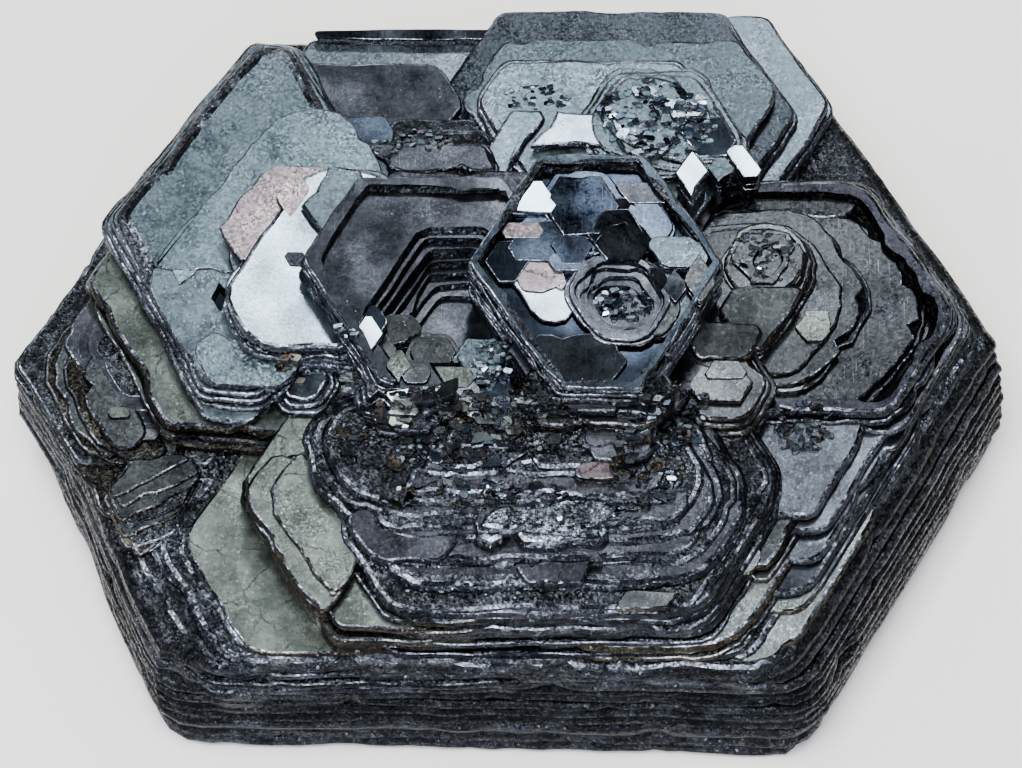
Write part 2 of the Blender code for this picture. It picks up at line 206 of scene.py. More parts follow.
class Shell:
    # a closed solid drawn upwards ring by ring round one centre

    def __init__(self, name, at, sides, root, outset=0.0, turn=0, corner=1.0, skew=(0,) * 6,
                 tilt=(0, 0), rough=1.0, spacing=None, drape=None, bulge=None, tone=0.5, tint=0.5,
                 haze=0.3, rust=0.0, edge=0.0):
        self.name = name
        narrowest = min(sides[i] + sides[i + 3] for i in range(3))
        self.fine = min(1.0, sum(sides) / 6 / leaves["fullSize"], narrowest / leaves["fullWidth"])
        self.drape = drape or leaves["drape"]
        self.bulge = bulge or leaves["bulge"]
        self.at = Vector(at)
        self.angles = [math.radians(a + turn + lean) for a, lean in zip(sideAngles, skew)]
        self.kept = keptSides(self.angles, sides)
        self.corner = corner
        self.slopes = [math.tan(math.radians(angle)) for angle in tilt]
        self.rough = rough
        self.edge = edge      # how much lighter its walls are
        self.luck = random.Random(name)
        self.layer = self.luck.uniform(0, 90)
        self.jut = 0.0
        self.flatFrom = self.flatAt = root
        self.bm = bmesh.new()
        self.looks = {"tone": tone, "tint": tint, "haze": haze, "rust": rust}
        self.stores = {key: self.bm.faces.layers.float.new(key) for key in self.looks}
        outline = outlineOf(self.angles, sides, self.kept, corner)
        pairs = zip(outline, outline[1:] + outline[:1])
        spacing = spacing or leaves["spacing"]
        self.parts = [max(1, round((b - a).length / spacing)) for a, b in pairs]
        circle = bmesh.ops.create_circle(self.bm, cap_ends=True, segments=sum(self.parts), radius=1)
        self.first = self.last = circle["verts"][0].link_faces[0]
        if self.first.normal.z < 0:
            self.first.normal_flip()
        self.paint(self.first)
        self.place(root, sides, outset, 0)

    def paint(self, face, tone=0.0):
        for key, value in self.looks.items():
            face[self.stores[key]] = value
        face[self.stores["tone"]] += tone

    def place(self, height, sides, outset, leaning):
        outline = outlineOf(self.angles, sides, self.kept, self.corner)
        points = []
        for a, b, parts in zip(outline, outline[1:] + outline[:1], self.parts):
            points += [a.lerp(b, step / parts) for step in range(parts)]
        apart = min(self.flatAt - height, height - self.flatFrom)
        loose = leaning * min(max(apart / leaves["sagFade"], 0.0), 1.0) * leaves["sag"]
        for index, vert in enumerate(self.last.verts):
            point = points[index]
            along = (points[(index + 1) % len(points)] - points[index - 1]).normalized()
            wave = edgeWave(self.at.x + point.x, self.at.y + point.y, self.layer, self.rough)
            stray = (outset + wave) * self.fine
            x = point.x + along.y * stray
            y = point.y - along.x * stray
            lean = leaning * (x * self.slopes[0] + y * self.slopes[1])
            if loose:
                lean += loose * noiseAt(self.at.x + x, self.at.y + y, height / 4, leaves["sagLength"])
            vert.co = (self.at.x + x - middle[0], self.at.y + y - middle[1], height + lean)

    def ring(self, height, sides, outset=0.0, slot=slotWall, flat=False, tone=0.0):
        result = bmesh.ops.extrude_face_region(self.bm, geom=[self.last])
        made = [item for item in result["geom"] if isinstance(item, bmesh.types.BMFace)]
        if self.last is not self.first:
            bmesh.ops.delete(self.bm, geom=[self.last], context="FACES_ONLY")
        self.last = made[0]
        self.place(height, sides, outset, 1)
        self.paint(self.last, tone)
        for edge in self.last.edges:
            for face in edge.link_faces:
                if face is not self.last:
                    face.smooth = not flat
                    face.material_index = slot
                    self.paint(face, tone)

    def leafEdges(self, low, high, thin, thick):
        # heights of the joints between leaves of uneven thickness
        heights = [low]
        while heights[-1] < high - thin:
            heights.append(heights[-1] + self.luck.uniform(thin, thick))
        if len(heights) == 1:
            return [low, high]
        share = (high - low) / (heights[-1] - low)
        return [low + (height - low) * share for height in heights]

    def leafedWall(self, low, high, sidesAt, thin=None, thick=None, worn=slotRim, drape=None):
        # a wall of leaves from one height to another; sidesAt gives the sides for a height
        self.flatFrom = low
        self.flatAt = high
        heights = self.leafEdges(low, high, thin or leaves["thin"], thick or leaves["thick"])
        for bottom, top in zip(heights, heights[1:]):
            sides = sidesAt(top)
            thickness = top - bottom
            groove = leaves["groove"] * min(1.0, 0.3 + thickness * 0.7)
            bulge = self.bulge * self.luck.uniform(0.6, 1.2)
            shade = self.edge + self.luck.uniform(-leaves["shades"], leaves["shades"])
            self.layer += self.luck.uniform(0.12, 0.35)
            self.jut = -self.luck.uniform(0.0, leaves["stray"])
            if top == heights[-1]:
                self.jut = -0.02
                bulge = drape or self.drape
            fall = min(bulge, thickness * 0.7)
            # the joint gets painted shade, and so does the downward-facing foot of the leaf above it
            self.ring(bottom + thickness * 0.05, sides, self.jut - groove,
                      tone=shade - leaves["paintedGrooveShade"])
            for turn in leaves["turns"]:
                inwards = bulge * (1 - math.cos(math.radians(turn)))
                down = fall * (1 - math.sin(math.radians(turn)))
                slot = worn if turn == 90 else slotWall
                # painted shade on the foot of the leaf, which faces down
                dark = 0.0 if turn else leaves["paintedFootShade"]
                self.ring(top - down, sides, self.jut - inwards, slot=slot, tone=shade - dark)
            self.jut -= bulge

    def tread(self, height, sides, slot=slotFace):
        # a flat step, inwards on a plate and outwards in a hollow
        self.layer += self.luck.uniform(0.12, 0.35)
        self.jut = -0.02
        self.ring(height, sides, self.jut, slot=slot, flat=True, tone=self.luck.uniform(-0.1, 0.1))

    def finished(self, topSlot, bottomSlot=slotWall):
        self.last.smooth = self.first.smooth = False
        self.last.material_index = topSlot
        self.first.material_index = bottomSlot
        bmesh.ops.recalc_face_normals(self.bm, faces=self.bm.faces)
        if self.bm.calc_volume(signed=True) < 0:
            bmesh.ops.reverse_faces(self.bm, faces=self.bm.faces)
        bmesh.ops.scale(self.bm, vec=(mm, mm, mm), verts=self.bm.verts)
        mesh = bpy.data.meshes.new(self.name)
        self.bm.to_mesh(mesh)
        self.bm.free()
        for material in roseMaterials:
            mesh.materials.append(material)
        return bpy.data.objects.new(self.name, mesh)


def plate(group, name, at, sides, root, top, layers=1, drop=1.0, run=ledge, wall=3.0, sheets=0,
          sheetRun=1.2, thin=None, thick=None, surface=slotFace, **form):
    # each lower layer stands out one ledge more than the next; thin sheets lie on the top one
    lowest = wider(sides, run * (layers - 1))
    shell = Shell(name, at, lowest, root, -0.5, **form)
    height = top - drop * (layers - 1)
    start = max(root + 0.1, height - wall)
    shell.ring(start, lowest, -0.45)
    for number in range(layers - 1, -1, -1):
        here = wider(sides, run * number)
        drape = min(shell.drape, run * 0.7) if number else shell.drape
        shell.leafedWall(start, height, lambda level: here, thin, thick, drape=drape)
        if number:
            shell.tread(height, wider(here, -run), surface)
            start = height
            height += drop
    for number in range(sheets):
        here = tuple(side - shell.luck.uniform(0.1, sheetRun) for side in wider(here, -shell.drape))
        shell.tread(height, here)
        rise = shell.luck.uniform(0.1, 0.25)
        shell.flatAt = height + rise
        shell.ring(height + rise * 0.5, here, shell.jut, slot=slotWall)
        shell.ring(height + rise, here, shell.jut - 0.1, slot=slotRim)
        shell.jut -= 0.1
        height += rise
    shell.paint(shell.last, shell.luck.uniform(-0.06, 0.06) if sheets else 0.0)
    group.objects.link(shell.finished(surface))


def hollow(group, name, at, steps, mouth, thin=None, thick=None, **form):
    # a hollow that opens upwards in steps, each a floor height and its six side distances
    shell = Shell(name, at, steps[0][1], steps[0][0], **form)
    for number, (height, sides) in enumerate(steps):
        if number:
            shell.tread(height, sides)
        last = number + 1 == len(steps)
        following = min(mouth, height + 3) if last else steps[number + 1][0]
        shell.leafedWall(height, following, lambda level: sides, thin, thick, drape=0.12)
    shell.ring(mouth + 0.1, sides, 0.3)
    group.objects.link(shell.finished(slotWall, slotFace))


def grow(group, crystals, **shared):
    # each crystal is its place, its six sides, its root and top, and how it differs;
    # what a whole table shares is given once
    for name, (at, sides, root, top, looks) in crystals.items():
        plate(group, name, at, sides, root, top, **{**shared, **looks})


def cut(group, hollows):
    for name, (at, steps, mouth, looks) in hollows.items():
        hollow(group, name, at, steps, mouth, **looks)


def joinWith(body, group, operation):
    # the crystals of a group are joined to the body, or the hollows are cut from it, for good
    join = body.modifiers.new(group.name, "BOOLEAN")
    join.operand_type = "COLLECTION"
    join.collection = group
    join.operation = operation
    join.solver = "MANIFOLD"
    graph = bpy.context.evaluated_depsgraph_get()
    joined = bpy.data.meshes.new_from_object(body.evaluated_get(graph))
    body.modifiers.clear()
    body.data = joined
    for item in list(group.objects):
        bpy.data.meshes.remove(item.data)
    bpy.data.collections.remove(group)
    print("crystals joined:", len(body.data.polygons), "faces")


def newGroup(name):
    group = bpy.data.collections.new(name)
    bpy.context.scene.collection.children.link(group)
    return group


def fromHex(text):
    # an sRGB hex colour as linear values
    parts = [int(text[place:place + 2], 16) / 255 for place in (0, 2, 4)]
    linear = [part / 12.92 if part < 0.04045 else ((part + 0.055) / 1.055) ** 2.4 for part in parts]
    return (*linear, 1.0)


def addNode(tree, kind, inputs, stops=(), **settings):
    # one node with its settings; an input is a value, a hex colour, or the node or socket that
    # feeds it, and stops are hex colours at even distances
    node = tree.nodes.new("ShaderNode" + kind)
    for key, value in settings.items():
        setattr(node, key, value)
    for key, value in inputs.items():
        if isinstance(value, bpy.types.Node):
            value = value.outputs[0]
        if isinstance(value, bpy.types.NodeSocket):
            tree.links.new(value, node.inputs[key])
        else:
            node.inputs[key].default_value = fromHex(value) if isinstance(value, str) else value
    for number, colour in enumerate(stops):
        place = number / (len(stops) - 1)
        if number > 1:
            node.color_ramp.elements.new(place)
        node.color_ramp.elements[number].position = place
        node.color_ramp.elements[number].color = fromHex(colour)
    return node


def repeats(size):
    # texture scale for a pattern whose parts are this many millimetres wide
    return 1000 / size


def newMaterial(name):
    # the material and the function that adds nodes to it
    material = bpy.data.materials.new(name)
    material.use_nodes = True
    material.node_tree.nodes.clear()
    return material, partial(addNode, material.node_tree)


def glitter(add, normal, cells, amount):
    # every cell of a pattern leans its own way, as small crystal facets do
    centred = add("VectorMath", {0: cells.outputs["Color"], 1: (0.5, 0.5, 0.5)}, operation="SUBTRACT")
    leaning = add("VectorMath", {0: centred, "Scale": amount}, operation="SCALE")
    added = add("VectorMath", {0: leaning, 1: normal}, operation="ADD")
    return add("VectorMath", {0: added}, operation="NORMALIZE")


basalFace = {      # the flat mirror faces that the crystals grew
    "dark": "111318",
    "light": "ccd3d9",
    # the film on the metal from tint 0 to 1: blue, teal, grey, olive, rosy
    "films": ("a0b0cc", "b0c5ce", "c4c3d0", "c9d2c6", "dcc6c8"),
    "rust": "3e2a18",
    "cracks": "0c0c10",
    "dust": "8d857a",
    "mottle": 3.2,      # size of the hazy patches
    "swell": 8.0,      # slow waves in the face
    "etching": 0.2,      # small pits of the hazy faces, which also place the painted glints
    "scratch": 0.12,      # drawn wider than the real hair lines so that they show
    "crack": 5.0,      # distance between the dark cracks of the olive faces
    "speck": 1.2,      # distance between specks of dust
}


def basalFaceMaterial():
    # specular hematite, grown faces: dark metal mirrors that glitter where they are etched, partly
    # through painted glints
    look = basalFace
    material, add = newMaterial("grown hematite face")
    coords = add("TexCoord", {}).outputs["Object"]
    tone, tint, haze, rust = [
        add("Attribute", {}, attribute_name=key).outputs["Fac"]
        for key in ("tone", "tint", "haze", "rust")]

    mottle = add("TexNoise", {"Vector": coords, "Scale": repeats(look["mottle"]), "Detail": 7.0,
        "Roughness": 0.72})
    swell = add("TexNoise", {"Vector": coords, "Scale": repeats(look["swell"]), "Detail": 1.0,
        "Roughness": 0.4})
    etching = add("TexVoronoi", {"Vector": coords, "Scale": repeats(look["etching"])})
    chance = add("SeparateColor", {0: etching.outputs["Color"]})

    # hair scratches in three directions, broken up by the mottling
    scratches = 0.0
    for turn, stretch, low in ((4, 0.03, 0.68), (62, 0.04, 0.7), (-41, 0.05, 0.71)):
        turned = add("Mapping", {"Vector": coords, "Rotation": (0, 0, math.radians(turn)),
            "Scale": (1, stretch, 1)})
        lines = add("TexNoise", {"Vector": turned, "Scale": repeats(look["scratch"]), "Detail": 1.0})
        sharp = add("MapRange", {"Value": lines, "From Min": low, "From Max": low + 0.08})
        scratches = add("Math", {0: scratches, 1: sharp}, operation="MAXIMUM")

    # lightness of the metal: the plate's own tone, mottled, grained and scratched, with painted glints
    # on the hazy faces
    patches = add("MapRange", {"Value": mottle, "From Min": 0.3, "From Max": 0.7, "To Min": -0.18,
        "To Max": 0.18})
    grains = add("MapRange", {"Value": chance, "To Min": -0.08, "To Max": 0.08})
    # painted glints: a few etched cells of the hazy faces are made much lighter
    sparkle = add("MapRange", {"Value": chance.outputs[1], "From Min": 0.94, "From Max": 1.0,
        "To Max": 1.3})
    hazy = add("Math", {0: haze, 1: tone}, operation="MULTIPLY")
    paintedGlints = add("Math", {0: sparkle, 1: hazy}, operation="MULTIPLY")
    mottled = add("Math", {0: patches, 1: grains}, operation="ADD")
    strength = add("Math", {0: tone, 1: 1.1, 2: 0.3}, operation="MULTIPLY_ADD")
    toned = add("Math", {0: mottled, 1: strength, 2: tone}, operation="MULTIPLY_ADD")
    lightness = add("Math", {0: toned, 1: paintedGlints}, operation="ADD")
    scratched = add("Math", {0: scratches, 1: 0.12, 2: lightness}, operation="MULTIPLY_ADD",
        use_clamp=True)
    metal = add("ValToRGB", {"Fac": scratched}, stops=(look["dark"], look["light"]))
    film = add("ValToRGB", {"Fac": tint}, stops=look["films"])
    tinted = add("Mix", {0: 1.0, 6: metal, 7: film}, data_type="RGBA", blend_type="MULTIPLY")

    # dark cracks branch over the olive faces
    bent = add("Mix", {0: 0.0022, 4: coords, 5: mottle.outputs["Color"]}, data_type="VECTOR")
    cells = add("TexVoronoi", {"Vector": bent.outputs[1], "Scale": repeats(look["crack"])},
        feature="DISTANCE_TO_EDGE")
    thin = add("MapRange", {"Value": cells, "From Min": 0.003, "From Max": 0.018, "To Min": 1.0,
        "To Max": 0.0})
    broken = add("MapRange", {"Value": mottle, "From Min": 0.46, "From Max": 0.54})
    filmed = add("MapRange", {"Value": tint, "From Min": 0.55, "From Max": 0.7, "To Max": 0.85})
    cracked = add("Math", {0: thin, 1: broken}, operation="MULTIPLY")
    cracks = add("Math", {0: cracked, 1: filmed}, operation="MULTIPLY")
    darkened = add("Mix", {0: cracks, 6: tinted.outputs[2], 7: look["cracks"]}, data_type="RGBA")

    # rust and dust lie on the metal and are dull
    specks = add("TexVoronoi", {"Vector": coords, "Scale": repeats(look["speck"])})
    dust = add("MapRange", {"Value": specks, "From Min": 0.03, "From Max": 0.06, "To Min": 1.0,
        "To Max": 0.0})
    sparse = add("MapRange", {"Value": swell, "From Min": 0.5, "From Max": 0.6})
    dusty = add("Math", {0: dust, 1: sparse}, operation="MULTIPLY")
    rusty = add("Math", {0: mottle, 1: rust}, operation="ADD")
    stained = add("MapRange", {"Value": rusty, "From Min": 0.85, "From Max": 1.1})
    colour = add("Mix", {0: stained, 6: darkened.outputs[2], 7: look["rust"]}, data_type="RGBA")
    dulled = add("Mix", {0: dusty, 6: colour.outputs[2], 7: look["dust"]}, data_type="RGBA")
    dirt = add("Math", {0: stained, 1: dusty}, operation="MAXIMUM")
    metallic = add("Math", {0: 1.0, 1: dirt}, operation="SUBTRACT")

    # gloss: etched patches and scratches scatter the light
    etched = add("Math", {0: mottle, 1: haze}, operation="MULTIPLY")
    gloss = add("Math", {0: etched, 1: 0.85, 2: 0.05}, operation="MULTIPLY_ADD")
    rough = add("Math", {0: dirt, 1: 0.4, 2: gloss}, operation="MULTIPLY_ADD", use_clamp=True)

    hazier = add("Math", {0: haze, 1: 3.5}, operation="POWER")
    pitting = add("Math", {0: hazier, 1: 0.5}, operation="MULTIPLY")
    waves = add("Bump", {"Strength": 1.0, "Distance": 0.26 * mm, "Height": swell})
    pitted = glitter(add, waves, etching, pitting)
    shader = add("BsdfPrincipled", {"Base Color": dulled.outputs[2], "Metallic": metallic,
        "Roughness": rough, "Normal": pitted})
    add("OutputMaterial", {"Surface": shader})
    return material


leafEdge = {      # the edges of the leaves
    "dark": "08090c",
    "light": "b0b9c8",
    "brown": "a49c88",      # where an old brown film is left
    "rust": "2a2826",
    "lamination": 0.3,      # drawn thicker than the real leaves so that it shows
    "ridge": 1.6,      # size of the painted highlight streaks along the leaves
    "pleat": 1.8,      # size of the lumps across the leaves
    "glint": 0.22,      # size of the small facets that lean their own way; a few of them get painted glints
}


def leafEdgeMaterial():
    # the broken edges of thousands of leaves: dark, grainy, full of small leaning facets and painted
    # glints
    look = leafEdge
    material, add = newMaterial("broken hematite leaf edges")
    coords = add("TexCoord", {}).outputs["Object"]
    tone, tint, rust = [
        add("Attribute", {}, attribute_name=key).outputs["Fac"] for key in ("tone", "tint", "rust")]
    flattened = add("Mapping", {"Vector": coords, "Scale": (0.35, 0.35, 1)})
    # painted highlight: lighter streaks that run along the leaves
    streakNoise = add("TexNoise", {"Vector": flattened, "Scale": repeats(look["ridge"]), "Detail": 4.0,
        "Roughness": 0.65})
    paintedStreaks = add("MapRange", {"Value": streakNoise, "From Min": 0.42, "From Max": 0.62, "To Min": 0.45,
        "To Max": 1.6})
    lines = add("TexNoise", {"Vector": flattened, "Scale": repeats(look["lamination"]), "Detail": 3.0})
    pleats = add("TexNoise", {"Vector": coords, "Scale": repeats(look["pleat"]), "Detail": 6.0,
        "Roughness": 0.7})
    facets = add("TexVoronoi", {"Vector": coords, "Scale": repeats(look["glint"])})
    chance = add("SeparateColor", {0: facets.outputs["Color"]})

    # lightness: uneven lines and grains, with painted highlight streaks along the leaves and a painted
    # glint on a facet here and there
    lined = add("Math", {0: lines, 1: pleats}, operation="MULTIPLY")
    shaded = add("MapRange", {"Value": lined, "From Min": 0.12, "From Max": 0.38, "To Min": 0.25})
    grained = add("Math", {0: chance, 1: 0.6, 2: 0.4}, operation="MULTIPLY_ADD")
    mixed = add("Math", {0: shaded, 1: grained}, operation="MULTIPLY")
    toned = add("Math", {0: tone, 1: 0.5, 2: 0.06}, operation="MULTIPLY_ADD")
    tonedWithPaintedStreaks = add("Math", {0: paintedStreaks, 1: toned}, operation="MULTIPLY")
    level = add("Math", {0: mixed, 1: tonedWithPaintedStreaks}, operation="MULTIPLY")
    # painted glints: a few facets are made much lighter
    glints = add("MapRange", {"Value": chance.outputs[1], "From Min": 0.94, "From Max": 1.0,
        "To Max": 1.6})
    tonedWithPaintedGlints = add("Math", {0: glints, 1: tonedWithPaintedStreaks, 2: level}, operation="MULTIPLY_ADD", use_clamp=True)
    filmed = add("MapRange", {"Value": tint, "From Min": 0.5, "From Max": 0.62})
    light = add("Mix", {0: filmed, 6: look["light"], 7: look["brown"]}, data_type="RGBA")
    metal = add("Mix", {0: tonedWithPaintedGlints, 6: look["dark"], 7: light.outputs[2]}, data_type="RGBA")
    rusty = add("Math", {0: pleats, 1: rust}, operation="ADD")
    stained = add("MapRange", {"Value": rusty, "From Min": 0.85, "From Max": 1.05})
    colour = add("Mix", {0: stained, 6: metal.outputs[2], 7: look["rust"]}, data_type="RGBA")
    metallic = add("Math", {0: 1.0, 1: stained}, operation="SUBTRACT")
    gloss = add("MapRange", {"Value": pleats, "From Min": 0.3, "From Max": 0.7, "To Min": 0.4,
        "To Max": 0.15})
    dull = add("Math", {0: stained, 1: 0.3, 2: gloss}, operation="MULTIPLY_ADD", use_clamp=True)

    laminated = add("Bump", {"Strength": 1.0, "Distance": 0.06 * mm, "Height": lines})
    pleated = add("Bump", {"Strength": 1.0, "Distance": 0.3 * mm, "Height": pleats,
        "Normal": laminated})
    glittered = glitter(add, pleated, facets, 0.65)
    shader = add("BsdfPrincipled", {"Base Color": colour.outputs[2], "Metallic": metallic,
        "Roughness": dull, "Normal": glittered})
    add("OutputMaterial", {"Surface": shader})
    return material


leafRim = {      # the worn upper edges of the leaves
    "dark": "14161c",
    "light": "ccd6ec",
    "wear": 1.4,      # size of the rubbed patches
    "stretch": 5.0,      # length of the cleaner stretches
    "grain": 0.2,      # size of the small facets that sparkle
}


def leafRimMaterial():
    # rubbed edges of the leaves: cleaner metal that draws a broken line of light
    look = leafRim
    material, add = newMaterial("rubbed hematite rim")
    coords = add("TexCoord", {}).outputs["Object"]
    tone, haze = [add("Attribute", {}, attribute_name=key).outputs["Fac"] for key in ("tone", "haze")]
    clean = add("MapRange", {"Value": haze, "From Min": 0.2, "From Max": 0.7, "To Min": 0.75,
        "To Max": 0.2})
    wear = add("TexNoise", {"Vector": coords, "Scale": repeats(look["wear"]), "Detail": 6.0,
        "Roughness": 0.75})
    grain = add("TexVoronoi", {"Vector": coords, "Scale": repeats(look["grain"])})
    chance = add("SeparateColor", {0: grain.outputs["Color"]})
    stretches = add("TexNoise", {"Vector": coords, "Scale": repeats(look["stretch"]), "Detail": 2.0})
    patchy = add("Math", {0: wear, 1: stretches}, operation="MULTIPLY")
    level = add("MapRange", {"Value": patchy, "From Min": 0.2, "From Max": 0.36})
    grained = add("Math", {0: chance, 1: 0.5, 2: 0.6}, operation="MULTIPLY_ADD")
    toned = add("Math", {0: tone, 1: 0.9, 2: clean}, operation="MULTIPLY_ADD")
    mixed = add("Math", {0: level, 1: grained}, operation="MULTIPLY")
    shown = add("Math", {0: toned, 1: mixed}, operation="MULTIPLY", use_clamp=True)
    metal = add("ValToRGB", {"Fac": shown}, stops=(look["dark"], look["light"]))
    gloss = add("MapRange", {"Value": wear, "From Min": 0.3, "From Max": 0.7, "To Min": 0.5,
        "To Max": 0.25})
    worn = add("Bump", {"Strength": 1.0, "Distance": 0.12 * mm, "Height": wear})
    glittered = glitter(add, worn, grain, 0.7)
    shader = add("BsdfPrincipled", {"Base Color": metal, "Metallic": 1.0, "Roughness": gloss,
        "Normal": glittered})
    add("OutputMaterial", {"Surface": shader})
    return material


footing = {      # the thick lower block: its sides at rising heights
    "skew": (0, 0, -1.2, -7, -1.5, 0),      # its sides are not quite at 60 degrees
    "corner": (0.6, 1.5, 2.0, 0.8, 3.5, 3.0),      # from the right-hand corner round
    "levels": (
        (0.0, (37.6, 33.2, 37.2, 39.6, 31.3, 38.0)),
        (2.5, (38.4, 34.0, 38.0, 40.4, 31.7, 38.8)),
        (5.0, (39.0, 34.6, 38.5, 40.8, 31.8, 39.3)),
        (8.0, (39.4, 35.1, 38.8, 40.9, 31.8, 39.4)),
        (11.0, (39.7, 35.4, 39.0, 40.8, 31.5, 38.9)),
        (13.0, (39.9, 35.5, 39.0, 40.5, 31.2, 38.1)),
        (15.0, (39.8, 35.5, 38.9, 40.0, 30.8, 36.9)),
    ),
}


def growFooting():
    # the thick lower block that everything stands on
    levels = footing["levels"]

    def sidesAt(height):
        for (low, lower), (high, upper) in zip(levels, levels[1:]):
            if height <= high:
                share = (height - low) / (high - low)
                return tuple(a + (b - a) * share for a, b in zip(lower, upper))
        return levels[-1][1]

    shell = Shell("hematite_rose_form", (0, 0), sidesAt(0), 0.0, -0.6, corner=footing["corner"],
                  skew=footing["skew"], spacing=1.1, bulge=0.85, drape=1.0, tone=0.02, rust=0.1)
    shell.leafedWall(0.0, levels[-1][0], sidesAt, 0.7, 2.0, slotWall)
    shell.looks.update(tone=0.16, rust=0.0)
    shell.paint(shell.last)
    body = shell.finished(slotWall)
    bpy.context.scene.collection.objects.link(body)
    return body


shelves = {      # the low left shelf and the flat shelves down the south-west side
    "left shelf": ((-36, -3), (20, 30, 9.2, 6.4, 8, 12), 8, 16,
        dict(broken, layers=2, drop=1.2, wall=6.7)),
    "left shelf step": ((-33, -1), (9, 15, 8.2, 5.4, 7.4, 8), 9, 17.2, dict(broken, sheets=3)),
    "front low shelf": ((-18, -20), (22, 20, 14, 13.6, 11.3, 24), 6, 13,
        dict(broken, corner=2, edge=-0.1)),
    "front lower shelf": ((-18, -20), (22, 20, 13, 11.8, 10.9, 24), 6, 14,
        dict(broken, corner=2, edge=-0.08)),
    "front middle shelf": ((-18, -20), (22, 20, 11.8, 10.3, 10.3, 24), 6, 15,
        dict(broken, corner=2, edge=-0.06)),
    "front shelf": ((-18, -20), (22, 20, 10.7, 9.2, 9.7, 24), 6, 16, dict(olive, corner=2)),
    "front shelf step": ((-18, -20), (14, 20, 8, 2.2, 9.2, 14), 9, 19.6,
        dict(olive, layers=2, drop=1.6, run=0.6)),
    "front shelf top": ((-13, -18), (14, 20, 7.6, 1.8, 11, 14), 9, 20.4, dict(olive, layers=2)),
    "front upper sheet": ((-18.7, -18), (4.3, 6.6, 5.4, 3.7, 9.8, 7.4), 15, 20.7,
        dict(olive, rough=2.2, corner=2)),
    "front top sheet": ((-17.8, -18.8), (3.5, 6.7, 4.7, 2.4, 8.1, 6.3), 15, 21,
        dict(olive, rough=2.2, corner=2)),
}

leftContours = {      # low wandering steps on the left shelf, lowest first
    "left contour 1": ((-36.1, -6.3), (6.6, 17, 10.3, 4.8, 13.5, 10.3), 12, 15.7,
        dict(umber, edge=-0.1, rough=2.4, corner=4)),
    "left contour 2": ((-35.2, -5.3), (4.2, 13.7, 9, 4.9, 6, 7.9), 12, 16.4,
        dict(umber, edge=-0.1, rough=2.8, corner=4)),
    "left contour 3": ((-35.2, -5.3), (3.4, 11.3, 8, 4.4, 5.8, 7), 12, 16.8,
        dict(brown, edge=-0.1, rough=2.8, corner=4, haze=0.7)),
    "left contour 4": ((-35.2, -5.2), (2.4, 9, 6.9, 3.7, 5.5, 6.1), 12, 17.15,
        dict(umber, edge=-0.1, rough=2.8, corner=4)),
    "left contour 5": ((-35.3, -5.5), (1.8, 6.7, 4.9, 2.4, 4.7, 4.2), 12, 17.6,
        dict(brown, edge=-0.1, rough=2.4, corner=2, haze=0.7)),
    "left bright flake": ((-35, -6.4), (1, 0.7, 1.1, 1, 0.7, 1.1), 15, 17.95, dict(olive, corner=0.5)),
    "left small flake": ((-32.6, -8.4), (1.6, 0.7, 1.2, 1.4, 0.6, 1.1), 15, 17.5,
        dict(greyOlive, corner=0.2, tone=0.4, rough=2)),
}

backCrystals = {      # a low strip with a narrow ridge behind it, then ledges in front of it
    "back strip": ((-10, 28), (9, 6.2, 10.7, 14, 4, 14), 9, 17.4,
        dict(greyTeal, layers=2, tint=0.35, wall=6.3, tone=0.42)),
    "back ridge": ((-10, 33.5), (7.85, 0.8, 7.5, 7.15, 0.4, 10.15), 9, 18.6,
        dict(black, drape=0.25, bulge=0.3, corner=0.5, rough=0.6)),
    "back slope": ((-12.5, 24.4), (7.6, 5, 9.4, 7, 6.3, 6.8), 12, 20,
        dict(dusk, tilt=(-1.5, 3.5), corner=1.2, drape=0.3, tone=0.15, tint=0.45)),
    "back slope flake": ((-14.5, 21.4), (3.6, 2, 4.1, 3, 2.3, 3.4), 12, 20.5,
        dict(slate, tilt=(-1.5, 2.5), corner=0.5, drape=0.2, haze=0.35)),
    "back ledge 1": ((-6.1, 21.1), (4.1, 2.3, 5.2, 4.6, 2.8, 5.3), 14, 20.2,
        dict(broken, layers=3, drop=0.5, run=0.5, rough=1.6)),
    "back ledge 2": ((-5.4, 19.3), (3.2, 1.9, 4.2, 5.1, 2.2, 4.3), 14, 21.6,
        dict(broken, layers=3, drop=0.4, run=0.4, rough=1.6)),
    "back ledge 3": ((-7, 17.5), (4.7, 1.4, 5.4, 4.8, 1.8, 5.5), 14, 23,
        dict(dusk, layers=3, drop=0.5, run=0.4, rough=1.6)),
}

